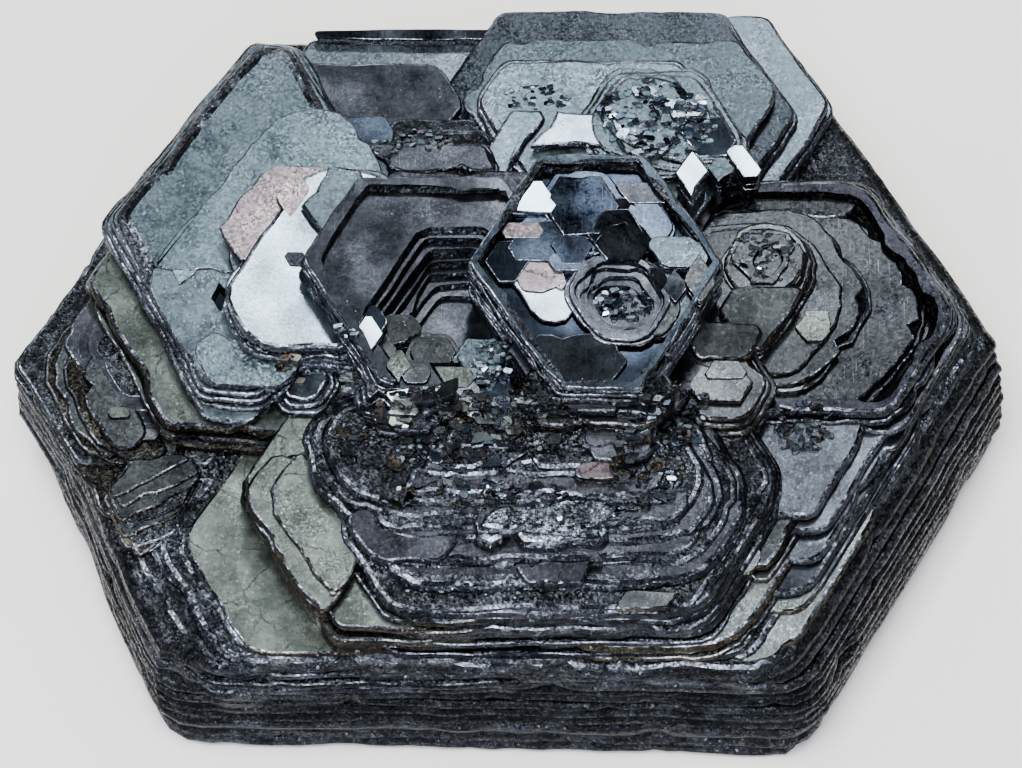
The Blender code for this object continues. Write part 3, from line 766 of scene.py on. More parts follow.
farCrystals = {      # the big plates of the far right corner
    "far shelf": ((12, 24), (16.6, 12.6, 17, 16, 16, 14), 9, 17.6,
        dict(greyTeal, layers=2, tone=0.33, wall=7.5)),
    "far plate": ((12, 24), (12.6, 12, 17.2, 16, 16, 12), 9, 19.2,
        dict(greyTeal, layers=2, drop=0.8, tone=0.09, tint=0.35)),
    "far second plate": ((12, 24), (12, 7.9, 14.9, 14, 14, 10), 9, 20.6,
        dict(teal, rough=1.3, tone=0.24)),
    "far third plate": ((12, 24), (5.4, 4.8, 13.2, 13, 14, 4), 9, 21.7,
        dict(teal, layers=2, drop=0.5, run=0.5)),
    "far front facet": ((0.3, 19.6), (3.8, 3.4, 1.9, 3.9, 5, 1.2), 16, 22.3,
        dict(paleTeal, tilt=(-2, 0.5), corner=0.1)),
    "far bright facet": ((5.9, 20.8), (3.4, 1.9, 2.5, 4.6, 2.1, 5.4), 16, 22.6,
        dict(flash, corner=0.1, rough=1.2, haze=0.45, skew=(8, -4, 0, 0, 0, 12))),
    "far mound": ((13.9, 21.6), (5.1, 5.2, 6, 6.4, 4.4, 7), 16, 22.6,
        dict(etched, layers=3, drop=0.35, run=0.6, rough=1.8, corner=1.5)),
    "far mound top": ((12.4, 22.4), (3.6, 3.6, 3.6, 3.8, 4.4, 3.6), 16, 23.4,
        dict(etched, layers=2, drop=0.3, run=0.5, rough=2, corner=1.2)),
    "far white facet": ((16.2, 22.5), (1.9, 1, 2.4, 1.9, 1.3, 1.9), 18, 23.6,
        dict(flash, corner=0.1, rough=1.5, haze=0.5)),
    "far white flake": ((12.3, 24.1), (1, 0.6, 1.3, 1.1, 0.5, 1.2), 18, 23.7,
        dict(flash, corner=0.1, rough=1.5, haze=0.5)),
    "far dark facet": ((18.1, 19.7), (1.9, 2, 2.7, 2.1, 2.1, 2.5), 18, 23,
        dict(slate, tilt=(6, 8), corner=0.3)),
    "far bright bar": ((21.1, 17), (1, 1.9, 1.9, 0.9, 2, 1.9), 16, 23, dict(flash, corner=0.2)),
    "far tall crystal": ((16.4, 14.5), (1.3, 2.3, 1.3, 1.5, 2.9, 1.2), 16, 25.2,
        dict(flash, corner=0.3)),
    "far small crystal": ((19, 15.6), (1, 1.3, 1.1, 1, 1.4, 1.1), 16, 24,
        dict(etched, tilt=(8, -5), corner=0.2)),
}

leftStackTurn = -4
leftStack = {      # thick plates one on another, turned a little from the rest
    "left ledge": ((-24, 12), (16, 18, 9.2, 15.4, 21.3, 16), 9, 19.5,
        dict(olive, layers=2, drop=1.2, turn=leftStackTurn, drape=0.6, tone=0.42)),
    "left low step": ((-24, 12), (11, 18, 9, 12, 20.8, 12.5), 12, 20.4, dict(teal, turn=leftStackTurn)),
    "left stack": ((-24, 12), (11.2, 18.2, 9.6, 10.8, 18.3, 11.6), 12, 22.5, dict(teal, layers=4,
        drop=0.6, run=0.45, turn=leftStackTurn, drape=1.2, tone=0.38, thick=0.8, wall=6)),
    "left lower sheet": ((-25.4, 5.3), (9.9, 10.2, 6, 7.1, 11.1, 11.3), 16, 22.8,
        dict(teal, turn=leftStackTurn, corner=3, rough=1.8, drape=0.12, tone=0.55)),
    "left top sheet": ((-24, 12), (13, 11, 3.5, 9.9, 7, 10.8), 14, 23,
        dict(paleTeal, tone=0.57, turn=leftStackTurn, corner=3, rough=1.5, drape=0.15)),
    "left sheet flake": ((-29.2, 5.6), (1, 2.2, 1, 1.2, 2.6, 1), 16, 22.95,
        dict(etched, turn=-14, corner=0.4, rough=1.5, drape=0.1, tone=0.8)),
    "left corner patch": ((-23.7, -3.7), (4.6, 2.5, 4.4, 3.7, 2.9, 4.6), 16, 23,
        dict(etched, corner=1.2, rough=2.6, turn=leftStackTurn, drape=0.15, tone=0.52)),
    "left small nest": ((-18.3, -4.6), (2.2, 2.1, 2, 2.3, 2.2, 2.1), 14, 20.9,
        dict(greyTeal, layers=3, drop=0.35, run=0.5, rough=1.5)),
    "mirror ledge": ((-19, 5), (12, 10.6, 6.6, 5.2, 3, 12), 14, 23.9,
        dict(teal, corner=1.5, drape=0.3)),
    "rosy plate": ((-21.7, 11.8), (6.3, 4.1, 2.5, 5.4, 6.4, 2.9), 16, 24.5,
        dict(rosy, corner=0.1, tilt=(-1.5, -1.5), rough=3, drape=0.2)),
    "rosy flake": ((-19.6, 12.2), (1.8, 3, 1.4, 1.6, 3.4, 1.2), 16, 24.8,
        dict(rosy, corner=0.6, tilt=(-2.5, -1.5), rough=2, drape=0.12, tone=0.75)),
    "mirror plate": ((-19, 5), (12, 10.4, 4.6, 7.9, 9.1, 12), 14, 25,
        dict(mirror, layers=2, drop=1.2, corner=2.5, tilt=(-3, -2.1), haze=0.35, drape=0.5)),
    "mirror upper plate": ((-16, 12.2), (3.5, 2.7, 1.7, 3.1, 4.4, 3.5), 16, 25.5,
        dict(teal, corner=0.2, rough=2, tone=0.55, haze=0.5)),
    "mirror dark spot": ((-19.2, 5.4), (0.9, 0.7, 1.1, 0.9, 0.8, 1), 16, 25.25,
        dict(charcoal, corner=0.2, rough=2, rust=0.3)),
}

rightTerraces = {      # terraces down the south-east side, lowest first
    "right lowest terrace": ((29, -12), (12, 16, 20, 20, 19.5, 5.4), 7, 13, dict(broken, corner=3)),
    "right lower terrace": ((29, -12), (12, 16, 20, 20, 19.3, 5.2), 7, 14.2, dict(broken, corner=3)),
    "right low terrace": ((29, -12), (4, 16, 20, 20, 18.6, 4.9), 7, 15.5,
        dict(terraceOlive, corner=4, drape=0.5)),
    "right low flat": ((29, -12), (-2, 4, 14, 14, 13.6, 4), 9, 15.9,
        dict(terraceOlive, corner=2, drape=0.4)),
    "right second terrace": ((29, -12), (10, 16, 20, 20, 12, 3.6), 7, 16.6,
        dict(terraceGrey, layers=2, drop=0.7, run=0.5, corner=2, drape=0.6)),
    "right strip": ((29, -12), (10, 16, 30, 30, 18.1, 0.9), 7, 17.4,
        dict(terraceOlive, layers=2, drop=1.2, corner=4, drape=0.6)),
    "right third terrace": ((29, -12), (8, 12, 12, 12, 9.3, 3), 9, 17.4,
        dict(terraceGrey, drape=0.5, corner=1.5, tone=0.42)),
    "right fourth terrace": ((29, -12), (8, 12, 12, 12, 6.8, 2.4), 9, 18.3,
        dict(terraceGrey, drape=0.5, corner=1.5, tone=0.34)),
    "right shelf": ((29, -12), (4, 12, 14, 12, 12.8, -0.1), 9, 18.8,
        dict(brown, layers=2, corner=3, drape=0.6)),
    "right shelf flat": ((19.5, -21.6), (2.4, 1.6, 2.2, 2.4, 1.8, 2.2), 9, 19.1,
        dict(terraceOlive, corner=0.8, rough=2, drape=0.2)),
    "right top shelf": ((29, -12), (4.2, 14, 14, 9.7, 5.9, 1), 9, 19.3,
        dict(terraceGrey, corner=1.5, drape=0.5)),
}

frontBlocks = {      # the steep front: thick rough layers that step up and back
    "front block": ((-1, -20), (26, 16, 14, 12.9, 9.3, 20.5), 6, 19,
        dict(broken, edge=-0.08, layers=3, drop=1.3, run=0.4, corner=2, drape=0.7)),
    "front second block": ((-1, -20), (24, 16, 13, 12.7, 8.4, 18.8), 9, 21.2,
        dict(broken, layers=2, drop=1, corner=2, drape=0.8)),
    "front third block": ((-1, -20), (20, 18, 12, 10.9, 6.4, 16.2), 9, 21.9,
        dict(broken, corner=3, drape=0.9, tone=0.36)),
    "front ridge": ((4, -20), (16, 12, 7, 8, 4, 9.6), 9, 22.4,
        dict(broken, layers=2, drop=0.6, corner=3, drape=0.7, rough=2)),
    "front mound": ((-1, -20), (17, 12, 18, 10.4, -1, 10.8), 9, 23.6,
        dict(broken, layers=3, drop=0.6, run=0.9, corner=5, drape=0.7, rough=2.4)),
    "front bright ridge": ((3.5, -20.9), (8, 2.6, 5.7, 8.7, 2.2, 5.5), 16, 23.5,
        dict(glittering, corner=3.5, rough=3, drape=1.1, tone=0.55)),
    "front bright ridge top": ((3.3, -20.4), (7.2, 2.2, 5.2, 8, 1.6, 4.9), 16, 23.9,
        dict(glittering, corner=3.5, rough=3, drape=0.9)),
}

frontFlats = {      # smooth plates that come through the rough front
    "front left flat": ((-9.2, -21.2), (5, 2.9, 5.3, 4, 2.9, 4.4), 18, 22.7,
        dict(murk, rough=2.4, corner=1.5)),
    "front middle flat": ((-0.6, -20.2), (3.4, 1.8, 2.6, 3, 1.5, 2.4), 18, 23.6,
        dict(murk, rough=2.4, corner=0.6)),
    "front low flat": ((4.2, -24.6), (3.9, 1.2, 3.4, 3.3, 1.8, 2.7), 18, 22.8,
        dict(murk, rough=1.6, corner=0.6)),
    "front right flat": ((9, -12.8), (2.9, 2.8, 2.8, 3.5, 2.4, 3.6), 18, 24.9,
        dict(greyOlive, rough=1.5, sheets=1, tone=0.24, tint=0.5)),
    "front far right flat": ((8, -15.9), (2.4, 1, 2.2, 2.3, 1, 2.4), 18, 24.6,
        dict(rosy, rough=2, tone=0.26)),
    "front corner flat": ((11.6, -27.2), (3.2, 1, 1.9, 2.6, 1, 2.4), 18, 21.6,
        dict(greyOlive, rough=1.6, tone=0.4, corner=0.4)),
}

middleCrystals = {      # the ground between the rosettes, and the blocks that two are cut from
    "middle ground": ((4, 2), (15, 14, 20, 16, 15, 15), 9, 23.2, dict(charcoal, layers=2)),
    "dark rosette": ((-4, 0), (9, 12.4, 14.7, 11, 9, 8), 12, 28,
        dict(dusk, **crisp, layers=2, drop=0.9, run=0.3, corner=0.8, edge=0.15, wall=4.5)),
    "right ground": ((28, 4), (11.2, 13.6, 16, 18, 14, 12.5), 9, 17.4, dict(murk, sheets=1)),
    "right rim": ((28, 4), (9.9, 12.7, 15, 16, 12, 11.4), 9, 20.4,
        dict(murk, tone=0.05, layers=3, drop=0.9, run=0.55, rough=1.5, corner=2.5, drape=0.6)),
}

firstHollows = {      # stepped funnels: the floors are the faces of the inner crystals
    "dark bowl": ((-4, 0), ((27, (9, 11.9, 13.9, 10.3, 12, 9)),), 31, dusk),
    "dark funnel": ((-4, -0.4), ((21.6, (2.6, 3.8, 4.1, 5, 3, 2.6)),
        (22.2, (3.1, 4.8, 4.9, 5.7, 3.5, 3.1)), (22.8, (3.6, 5.6, 5.6, 6.4, 4, 3.6)),
        (23.5, (4.1, 6.3, 6, 7, 4.5, 4.1)), (24.2, (4.6, 6.9, 6.4, 7.6, 5, 4.6)),
        (25.5, (5.6, 7.5, 7, 8.4, 6, 5.6)), (26.3, (5.9, 8.4, 7.9, 9.1, 6.3, 6))), 29,
        dict(dusk, tone=0.19, edge=0.15)),
    "dark rosette gap": ((-3, -8), ((24.4, (4, 3, 5.5, 3, 4, 5)),), 30, slate),
    "right trench": ((28, 4), ((17.8, (8.9, 11.4, 13, 14, 11, 10.4)),), 26,
        dict(brown, rough=1.5, corner=2)),
    "left pit": ((-25.9, 3), ((21.9, (0.9, 3, 0.9, 1.3, 2.4, 0.6)),), 26,
        dict(night, corner=0.5, turn=12, rough=2.4, edge=0.4)),
}

highCrystals = {      # the highest rosette, and the plates of the right one
    "high rosette": ((7, 1), (11, 13, 10.3, 8.4, 11.4, 9.4), 12, 29, dict(dusk, **crisp, layers=2,
        drop=0.8, run=0.3, turn=1, corner=0.6, edge=0.5, tint=0.15, tone=0.13, wall=5)),
    "small nest": ((18.5, -6), (4, 4, 5, 3.4, 3.7, 3.8), 12, 22.6,
        dict(greyOlive, tone=0.15, layers=3, drop=0.5, run=0.5)),
    "small nest plate": ((18.3, -5.9), (2.6, 1.8, 2.8, 2.6, 2.3, 2.9), 12, 23.2,
        dict(greyOlive, corner=0.3, rough=1.6, tone=0.26)),
    "small nest flake": ((18.9, -5.1), (1.7, 1, 1.3, 1.7, 0.9, 1.9), 12, 23.4,
        dict(greyOlive, corner=0.3, rough=2, tone=0.3)),
    "right floor plate": ((28, 4), (8.4, 9.6, 12, 14, 11, 8.9), 12, 19.5,
        dict(swirl, layers=2, drop=0.8, tone=0.07)),
    "right second plate": ((23, 4), (8.8, 9.6, 9, 11, 9.4, 8.6), 12, 20.5,
        dict(swirl, layers=2, drop=0.5, tone=0.08)),
    "right second sheet": ((22.4, 4.2), (7.4, 7.6, 9, 11, 8.6, 7.6), 12, 20.9,
        dict(swirl, tone=0.12, rough=2.6)),
    "right third plate": ((23, 4), (5.7, 6.9, 8, 9, 7.6, 3), 12, 21.7,
        dict(swirl, layers=2, drop=0.4, tone=0.13)),
    "right third sheet": ((22.6, 4.4), (4.9, 6, 8, 9, 6.8, 2.4), 12, 22.1,
        dict(swirl, tone=0.1, rough=2.6)),
    "right light patch": ((27.2, 0.8), (1.8, 1.5, 1.4, 1.6, 1.8, 1.6), 12, 21.2,
        dict(olive, drape=0.2, corner=0.3, rough=2.4, tone=0.36)),
    "right low patch": ((24.2, -4.2), (2.4, 1.4, 2.4, 2.4, 1.4, 2.3), 12, 20.1,
        dict(greyOlive, drape=0.3, corner=0.8, rough=2, tone=0.36)),
    "right core": ((23, 7), (3.6, 3.5, 3.5, 4, 4.4, 3.3), 14, 22.5,
        dict(swirl, layers=2, drop=0.3, tone=0.14, rough=2.6)),
    "right core sheet": ((22.8, 7.2), (2.6, 2.5, 2.6, 3, 3.4, 2.4), 14, 22.8,
        dict(swirl, tone=0.18, rough=3, corner=0.6, haze=0.6)),
    "right dark slab": ((22.2, 0.7), (4.8, 3.2, 3.6, 3, 3.7, 2.3), 14, 22.9,
        dict(brown, corner=0.8, tilt=(1, 3))),
    "right brown slab": ((19.2, -2), (3.6, 2.1, 3.9, 3.1, 2, 2.8), 14, 23.1,
        dict(brown, corner=0.8, tilt=(0, 3))),
    "right dark crescent": ((26.4, 14.6), (4.7, 1.3, 4, 4.9, 1.6, 4.6), 14, 19.6,
        dict(brown, corner=1.2, rough=1.6, tone=0.05)),
    "dark floor crystal": ((-12.2, -2.4), (1.2, 1.8, 1.2, 1.4, 2, 1.2), 18, 27.2,
        dict(slate, corner=0.4, tilt=(4, 0))),
    "low floor crystal": ((-4.5, -8.6), (1.8, 1.6, 1.6, 1.8, 1.6, 2), 18, 25.4,
        dict(pale, corner=0.5, tilt=(-3, 2))),
}

highHollows = {      # the bowl of the high rosette and the hollow of the right core
    "high bowl": ((7, 1),
        ((27.6, (10.4, 12.5, 9.8, 7.95, 10.95, 8.95)), (28.4, (10.85, 12.9, 10.2, 8.3, 11.3, 9.3))), 32,
        dict(night, turn=1, corner=0.6, tone=0.12, edge=0.4)),
    "right core hollow": ((23.2, 6.6), ((22.4, (1.4, 1.7, 1.5, 1.6, 2, 1.3)),), 26,
        dict(brown, corner=0.8, rough=2)),
}

innerCrystals = {      # crystals standing inside the rosettes
    "high back plate": ((7, 1), (7.4, 11.8, 8.4, 3, -3, 3), 20, 28.1,
        dict(night, corner=0.8, tone=0.3, edge=0.3, haze=0.4)),
    "high back facet": ((6.2, 9), (2.9, 2.8, 2.8, 2.9, 3.2, 3.1), 20, 28.5,
        dict(night, corner=0.3, layers=2, drop=0.25, run=0.3, tone=0.04)),
    "high left facet": ((1.5, 9.7), (2, 1.8, 0.8, 2.3, 1.6, 2.6), 20, 28.6,
        dict(mirror, corner=0.05, tilt=(-3, -2.2))),
    "high left step 1": ((2.7, 5.2), (2.6, 2.2, 2.4, 3, 2, 2.4), 20, 28.3,
        dict(night, corner=0.3, layers=2, drop=0.3)),
    "high left step 2": ((-0.1, 3.3), (2.2, 2.1, 1.9, 1.9, 2.2, 1.5), 20, 28.2,
        dict(night, edge=0.3, corner=0.3, tilt=(3, -2))),
    "high left plate": ((3.1, 0), (1.8, 4.2, 3.5, 2.1, 3.1, 3.4), 20, 28,
        dict(mirror, corner=0.4, tilt=(-2.8, -2.1), haze=0.45)),
    "high left plate top": ((2.7, 1.9), (1.8, 2, 2.8, 2.4, 1.9, 2.6), 20, 28.15,
        dict(rosy, corner=0.6, tilt=(-2, -1.5), rough=2.2, tone=0.5)),
    "high left step 3": ((5.6, 4.2), (1.7, 1.5, 2.1, 1.5, 1.4, 1.3), 20, 28.5, dict(night, corner=0.2)),
    "high disc": ((12.4, 7.5), (1.6, 2.3, 2.4, 1.5, 2.3, 2.3), 20, 28.3,
        dict(slate, corner=0.9, tilt=(-1.5, -1), layers=2, drop=0.25, run=0.25)),
    "high arc 1": ((12.4, -0.4), (3, 3.9, 2, 2, 4.1, 3.9), 20, 28,
        dict(greyTeal, corner=1.5, rough=1.5)),
    "high arc 2": ((11.9, -0.5), (2.4, 3.6, 2, 2, 3.9, 3.4), 20, 28.25,
        dict(brown, corner=1.5, rough=1.5, layers=2, drop=0.2, run=0.3)),
    "high ring": ((9.6, -0.9), (4.2, 4.6, 4.8, 3.9, 4.3, 4.2), 20, 28.5,
        dict(dusk, edge=0.3, corner=1.6, layers=2, drop=0.3, run=0.3)),
    "ring dark disc": ((12.1, 1.2), (1.5, 1, 1.7, 1.6, 1.1, 1.6), 20, 28.8,
        dict(black, corner=0.6, rough=1.3, tilt=(0.5, 3))),
    "ring grey facet": ((7.6, 1), (1.2, 1.4, 1.2, 1.3, 1.5, 1.2), 20, 28.7,
        dict(dusk, corner=0.1, tone=0.14, rough=1.3)),
    "high left chip": ((0.9, 6.4), (1.7, 0.8, 1.5, 1.6, 0.8, 1.8), 20, 28.35,
        dict(rosy, corner=0.1, rough=2, tone=0.4)),
    "high middle chip": ((5, 3), (1.5, 0.9, 1.6, 1.4, 0.9, 1.6), 20, 28.45,
        dict(slate, corner=0.1, edge=0.5, tone=0.3)),
    "high back chip": ((11.6, 10.2), (1.5, 1.2, 2.4, 1.5, 1.1, 2.4), 20, 28.4,
        dict(dusk, corner=0.1, edge=0.3)),
    "high east plate": ((15.2, 3.8), (2, 1.7, 3.2, 2.4, 1.5, 2.4), 20, 28.7,
        dict(greyTeal, corner=0.8, rough=1.6, tone=0.4)),
    "high east face": ((16.7, 1), (1.3, 2.6, 1.4, 1.4, 2.4, 1.4), 20, 28.9,
        dict(brown, corner=0.5, rough=1.4)),
    "high east flake": ((14.6, 0.4), (0.9, 2.3, 1.1, 1, 2.4, 1), 20, 28.6,
        dict(black, corner=0.5, rough=1.4)),
    "high floor facet": ((6.6, -6.6), (3.1, 2.7, 5.1, 3.4, 2.9, 3.3), 20, 28,
        dict(black, corner=0.4, tilt=(0.5, 2), tone=0.12)),
    "high step 1": ((9.6, 7), (2.4, 2.8, 2.8, 3, 3, 3.5), 20, 28.2,
        dict(black, corner=0.3, edge=0.4, tilt=(0.5, 3))),
    "high step 2": ((9.7, 6), (1.9, 2.4, 2.4, 2.6, 2.8, 2.9), 20, 28.5,
        dict(black, corner=0.3, edge=0.4, tilt=(0.5, 3))),
    "high step 3": ((9.8, 5), (1.4, 2, 2, 2.2, 2.4, 2.3), 20, 28.8,
        dict(black, corner=0.3, edge=0.4, tilt=(0.5, 3))),
    "dark glint": ((-12.7, -3.6), (1.2, 1.7, 1, 0.9, 2.2, 1.3), 22, 27.4, dict(flash, corner=0.2)),
    "dark petal 1": ((-9.8, -2), (1.7, 1.5, 1.8, 1.7, 1.5, 1.7), 20, 25.3,
        dict(brown, corner=0.5, rough=2.2, tilt=(2, 2))),
    "dark petal 2": ((-11.1, -4.2), (1, 1.9, 1.2, 1.1, 2.4, 1.1), 20, 25.7,
        dict(greyOlive, corner=0.5, rough=2.2, tone=0.3)),
    "dark petal 3": ((-7, -4.2), (1.9, 1.6, 1.9, 1.9, 1.7, 1.9), 20, 25,
        dict(brown, corner=0.5, rough=2.2, layers=2, drop=0.3, tilt=(-1, 2))),
    "dark petal 4": ((-9.9, -7.1), (1.1, 1.8, 1.2, 1, 1.7, 1.2), 20, 27.4,
        dict(olive, corner=0.4, rough=2.2, tone=0.34)),
    "dark petal 5": ((-8.3, -7.7), (1.3, 0.9, 1.3, 1.3, 1, 1.2), 20, 27.3,
        dict(greyOlive, corner=0.4, rough=2.2, tone=0.26)),
    "dark petal 6": ((-5.2, -7.1), (2.1, 1.1, 2.2, 2, 1.2, 1.9), 20, 25.5,
        dict(olive, corner=0.4, rough=2.2, tone=0.36)),
    "dark light crystal": ((-2.5, -5.1), (1.9, 2, 2, 1.9, 1.9, 1.8), 20, 25.4,
        dict(etched, corner=0.2, layers=2, drop=0.5, rough=1.6, tone=0.35)),
    "brown flake": ((-3.4, -9.3), (1.4, 1, 1.6, 1.3, 1, 1.6), 20, 25.3,
        dict(brown, corner=0.2, rust=0.36)),
}

wellHollow = {      # the stepped well inside the high ring
    "ring well": ((9.7, -0.9), ((26.9, (2.3, 2.3, 2.8, 2.2, 2.3, 2.5)),
        (27.4, (2.9, 3, 3.4, 2.6, 2.9, 3)), (27.8, (3.5, 3.7, 4.1, 3.2, 3.5, 3.5)),
        (28.15, (3.8, 4.2, 4.45, 3.55, 3.9, 3.85))), 31, dict(dusk, corner=1.2, rough=1.5, edge=0.15)),
}

stain = {"tone": 0.3, "tint": 0.7, "haze": 0.5, "rust": 0.5}
rubble = (murk, brown, charcoal, slate)
clusters = {      # crowds of small crystals: centre, half-widths, rises, sizes, number, looks, bright
    "front crumbs": ((-4.5, -12.4), (11.0, 3.6), (0.05, 0.5), (0.2, 0.8), 170, rubble, 0.04),
    "front right crumbs": ((12.0, -14.5), (3.0, 4.5), (0.05, 0.5), (0.2, 0.8), 60, rubble, 0.05),
    "front olive crumbs": ((-4.5, -11.2), (7.5, 2.0), (0.2, 0.5), (0.4, 1.1), 30,
                           (olive, greyOlive), 0),
    "front lower crumbs": ((-3, -18.0), (9.5, 1.6), (0.05, 0.4), (0.2, 0.7), 60, rubble, 0.05),
    "front glints": ((-1.4, -17.6), (1.3, 0.9), (0.1, 0.4), (0.1, 0.25), 50, (slate,), 0.7),
    "left ridge glints": ((-9.0, -13.6), (2.4, 0.5), (0.1, 0.4), (0.1, 0.3), 40, (slate,), 0.6),
    "bright ridge glints": ((3.6, -20.6), (6.0, 1.6), (0.02, 0.2), (0.1, 0.25), 80, (slate,), 0.5),
    "terrace glints": ((-3.0, -26.4), (9.0, 0.6), (0.02, 0.15), (0.1, 0.25), 50, (slate,), 0.35),
    "gap crumbs": ((-3.4, -9.9), (6.2, 1.4), (0.05, 0.4), (0.15, 0.5), 80, rubble, 0.1),
    "light cluster": ((-1.7, -5.3), (1.7, 2.2), (0.1, 0.5), (0.15, 0.4), 60,
                      (slate, teal, etched), 0.4),
    "left white cluster": ((-14.7, -4.9), (1.2, 2.4), (0.1, 0.5), (0.15, 0.45), 30,
                           (teal, slate), 0.5),
    "nest sparkle": ((9.9, -0.6), (2.6, 1.7), (0.05, 0.4), (0.12, 0.4), 90, (slate, night), 0.4),
    "mound sparkle": ((13.4, 21.4), (5.4, 4.0), (0.02, 0.25), (0.15, 0.6), 200,
                      (teal, night, slate), 0.45),
    "far sparkle": ((2.4, 24.6), (3.0, 1.4), (0.02, 0.1), (0.12, 0.4), 50,
                    (teal, night, slate), 0.15),
    "ledge sparkle": ((-8.6, 20.0), (4.0, 1.8), (0.05, 0.4), (0.12, 0.4), 50,
                      (slate, brown, teal), 0.4),
    "right crumbs": ((14.5, -9.5), (3.2, 3.2), (0.05, 0.5), (0.15, 0.6), 60, rubble, 0.1),
    "core crumbs": ((22.6, 7.0), (3.0, 3.0), (0.02, 0.2), (0.15, 0.5), 50, rubble, 0.03),
    "left stain": ((-19.6, -4.6), (1.2, 0.5), (0.05, 0.3), (0.2, 0.5), 12, (stain, brown), 0),
    "back stain": ((-11.4, 18.8), (1.2, 2.0), (0.1, 0.4), (0.15, 0.4), 14, (stain, brown), 0.2),
    "middle stain": ((0.9, -8.4), (1.0, 0.6), (0.05, 0.3), (0.2, 0.4), 9, (stain, brown), 0.1),
    "nest crumbs": ((26.0, -9.0), (2.6, 2.2), (0.05, 0.5), (0.2, 0.6), 45, rubble, 0.1),
}

crumb = {      # what the small crystals of a cluster have in common
    "outline": (1, 0.6, 1, 1, 0.6, 1),      # longer than wide
    "sizes": (0.5, 1.4),      # how uneven their sides are
    "turn": 14,      # spread of their turn and their lean
    "lean": 9,
    "cleanSize": 0.4,      # the bright ones are no larger than this
    "dull": 0.75,      # share of the rubble that is broken all over
    "depth": 0.6,      # how far they reach into the ground
    "rim": 0.08,
    "above": 40,      # the ground is looked for downwards from this height
}


def growCluster(group, surface, name, centre, reach, rises, sizes, number, looks, bright):
    # small tilted crystals crowded on the surface, some of them clean enough to flash
    luck = random.Random(name)
    for count in range(number):
        turn = luck.uniform(0, 2 * math.pi)
        away = math.sqrt(luck.random())
        x = centre[0] + reach[0] * away * math.cos(turn)
        y = centre[1] + reach[1] * away * math.sin(turn)
        start = Vector((x - middle[0], y - middle[1], crumb["above"])) * mm
        ground = surface.ray_cast(start, Vector((0, 0, -1)))[0].z / mm
        size = luck.uniform(*sizes)
        clean = luck.random() < bright
        size = min(size, crumb["cleanSize"]) if clean else size
        sides = tuple(size * luck.uniform(*crumb["sizes"]) * share for share in crumb["outline"])
        top = ground + luck.uniform(*rises)
        look = luck.choice((mirror, pale, etched) if clean else looks)
        shell = Shell(name + str(count), (x, y), sides, ground - crumb["depth"],
                      turn=luck.gauss(0, crumb["turn"]),
                      tilt=(luck.gauss(0, crumb["lean"]), luck.gauss(0, crumb["lean"])), corner=0,
                      rough=0.8, spacing=9, **look)
        shell.ring(top - crumb["rim"], sides)
        shell.ring(top, sides, -crumb["rim"], slot=slotRim)
        dull = look in rubble and luck.random() < crumb["dull"]
        group.objects.link(shell.finished(slotWall if dull else slotFace))


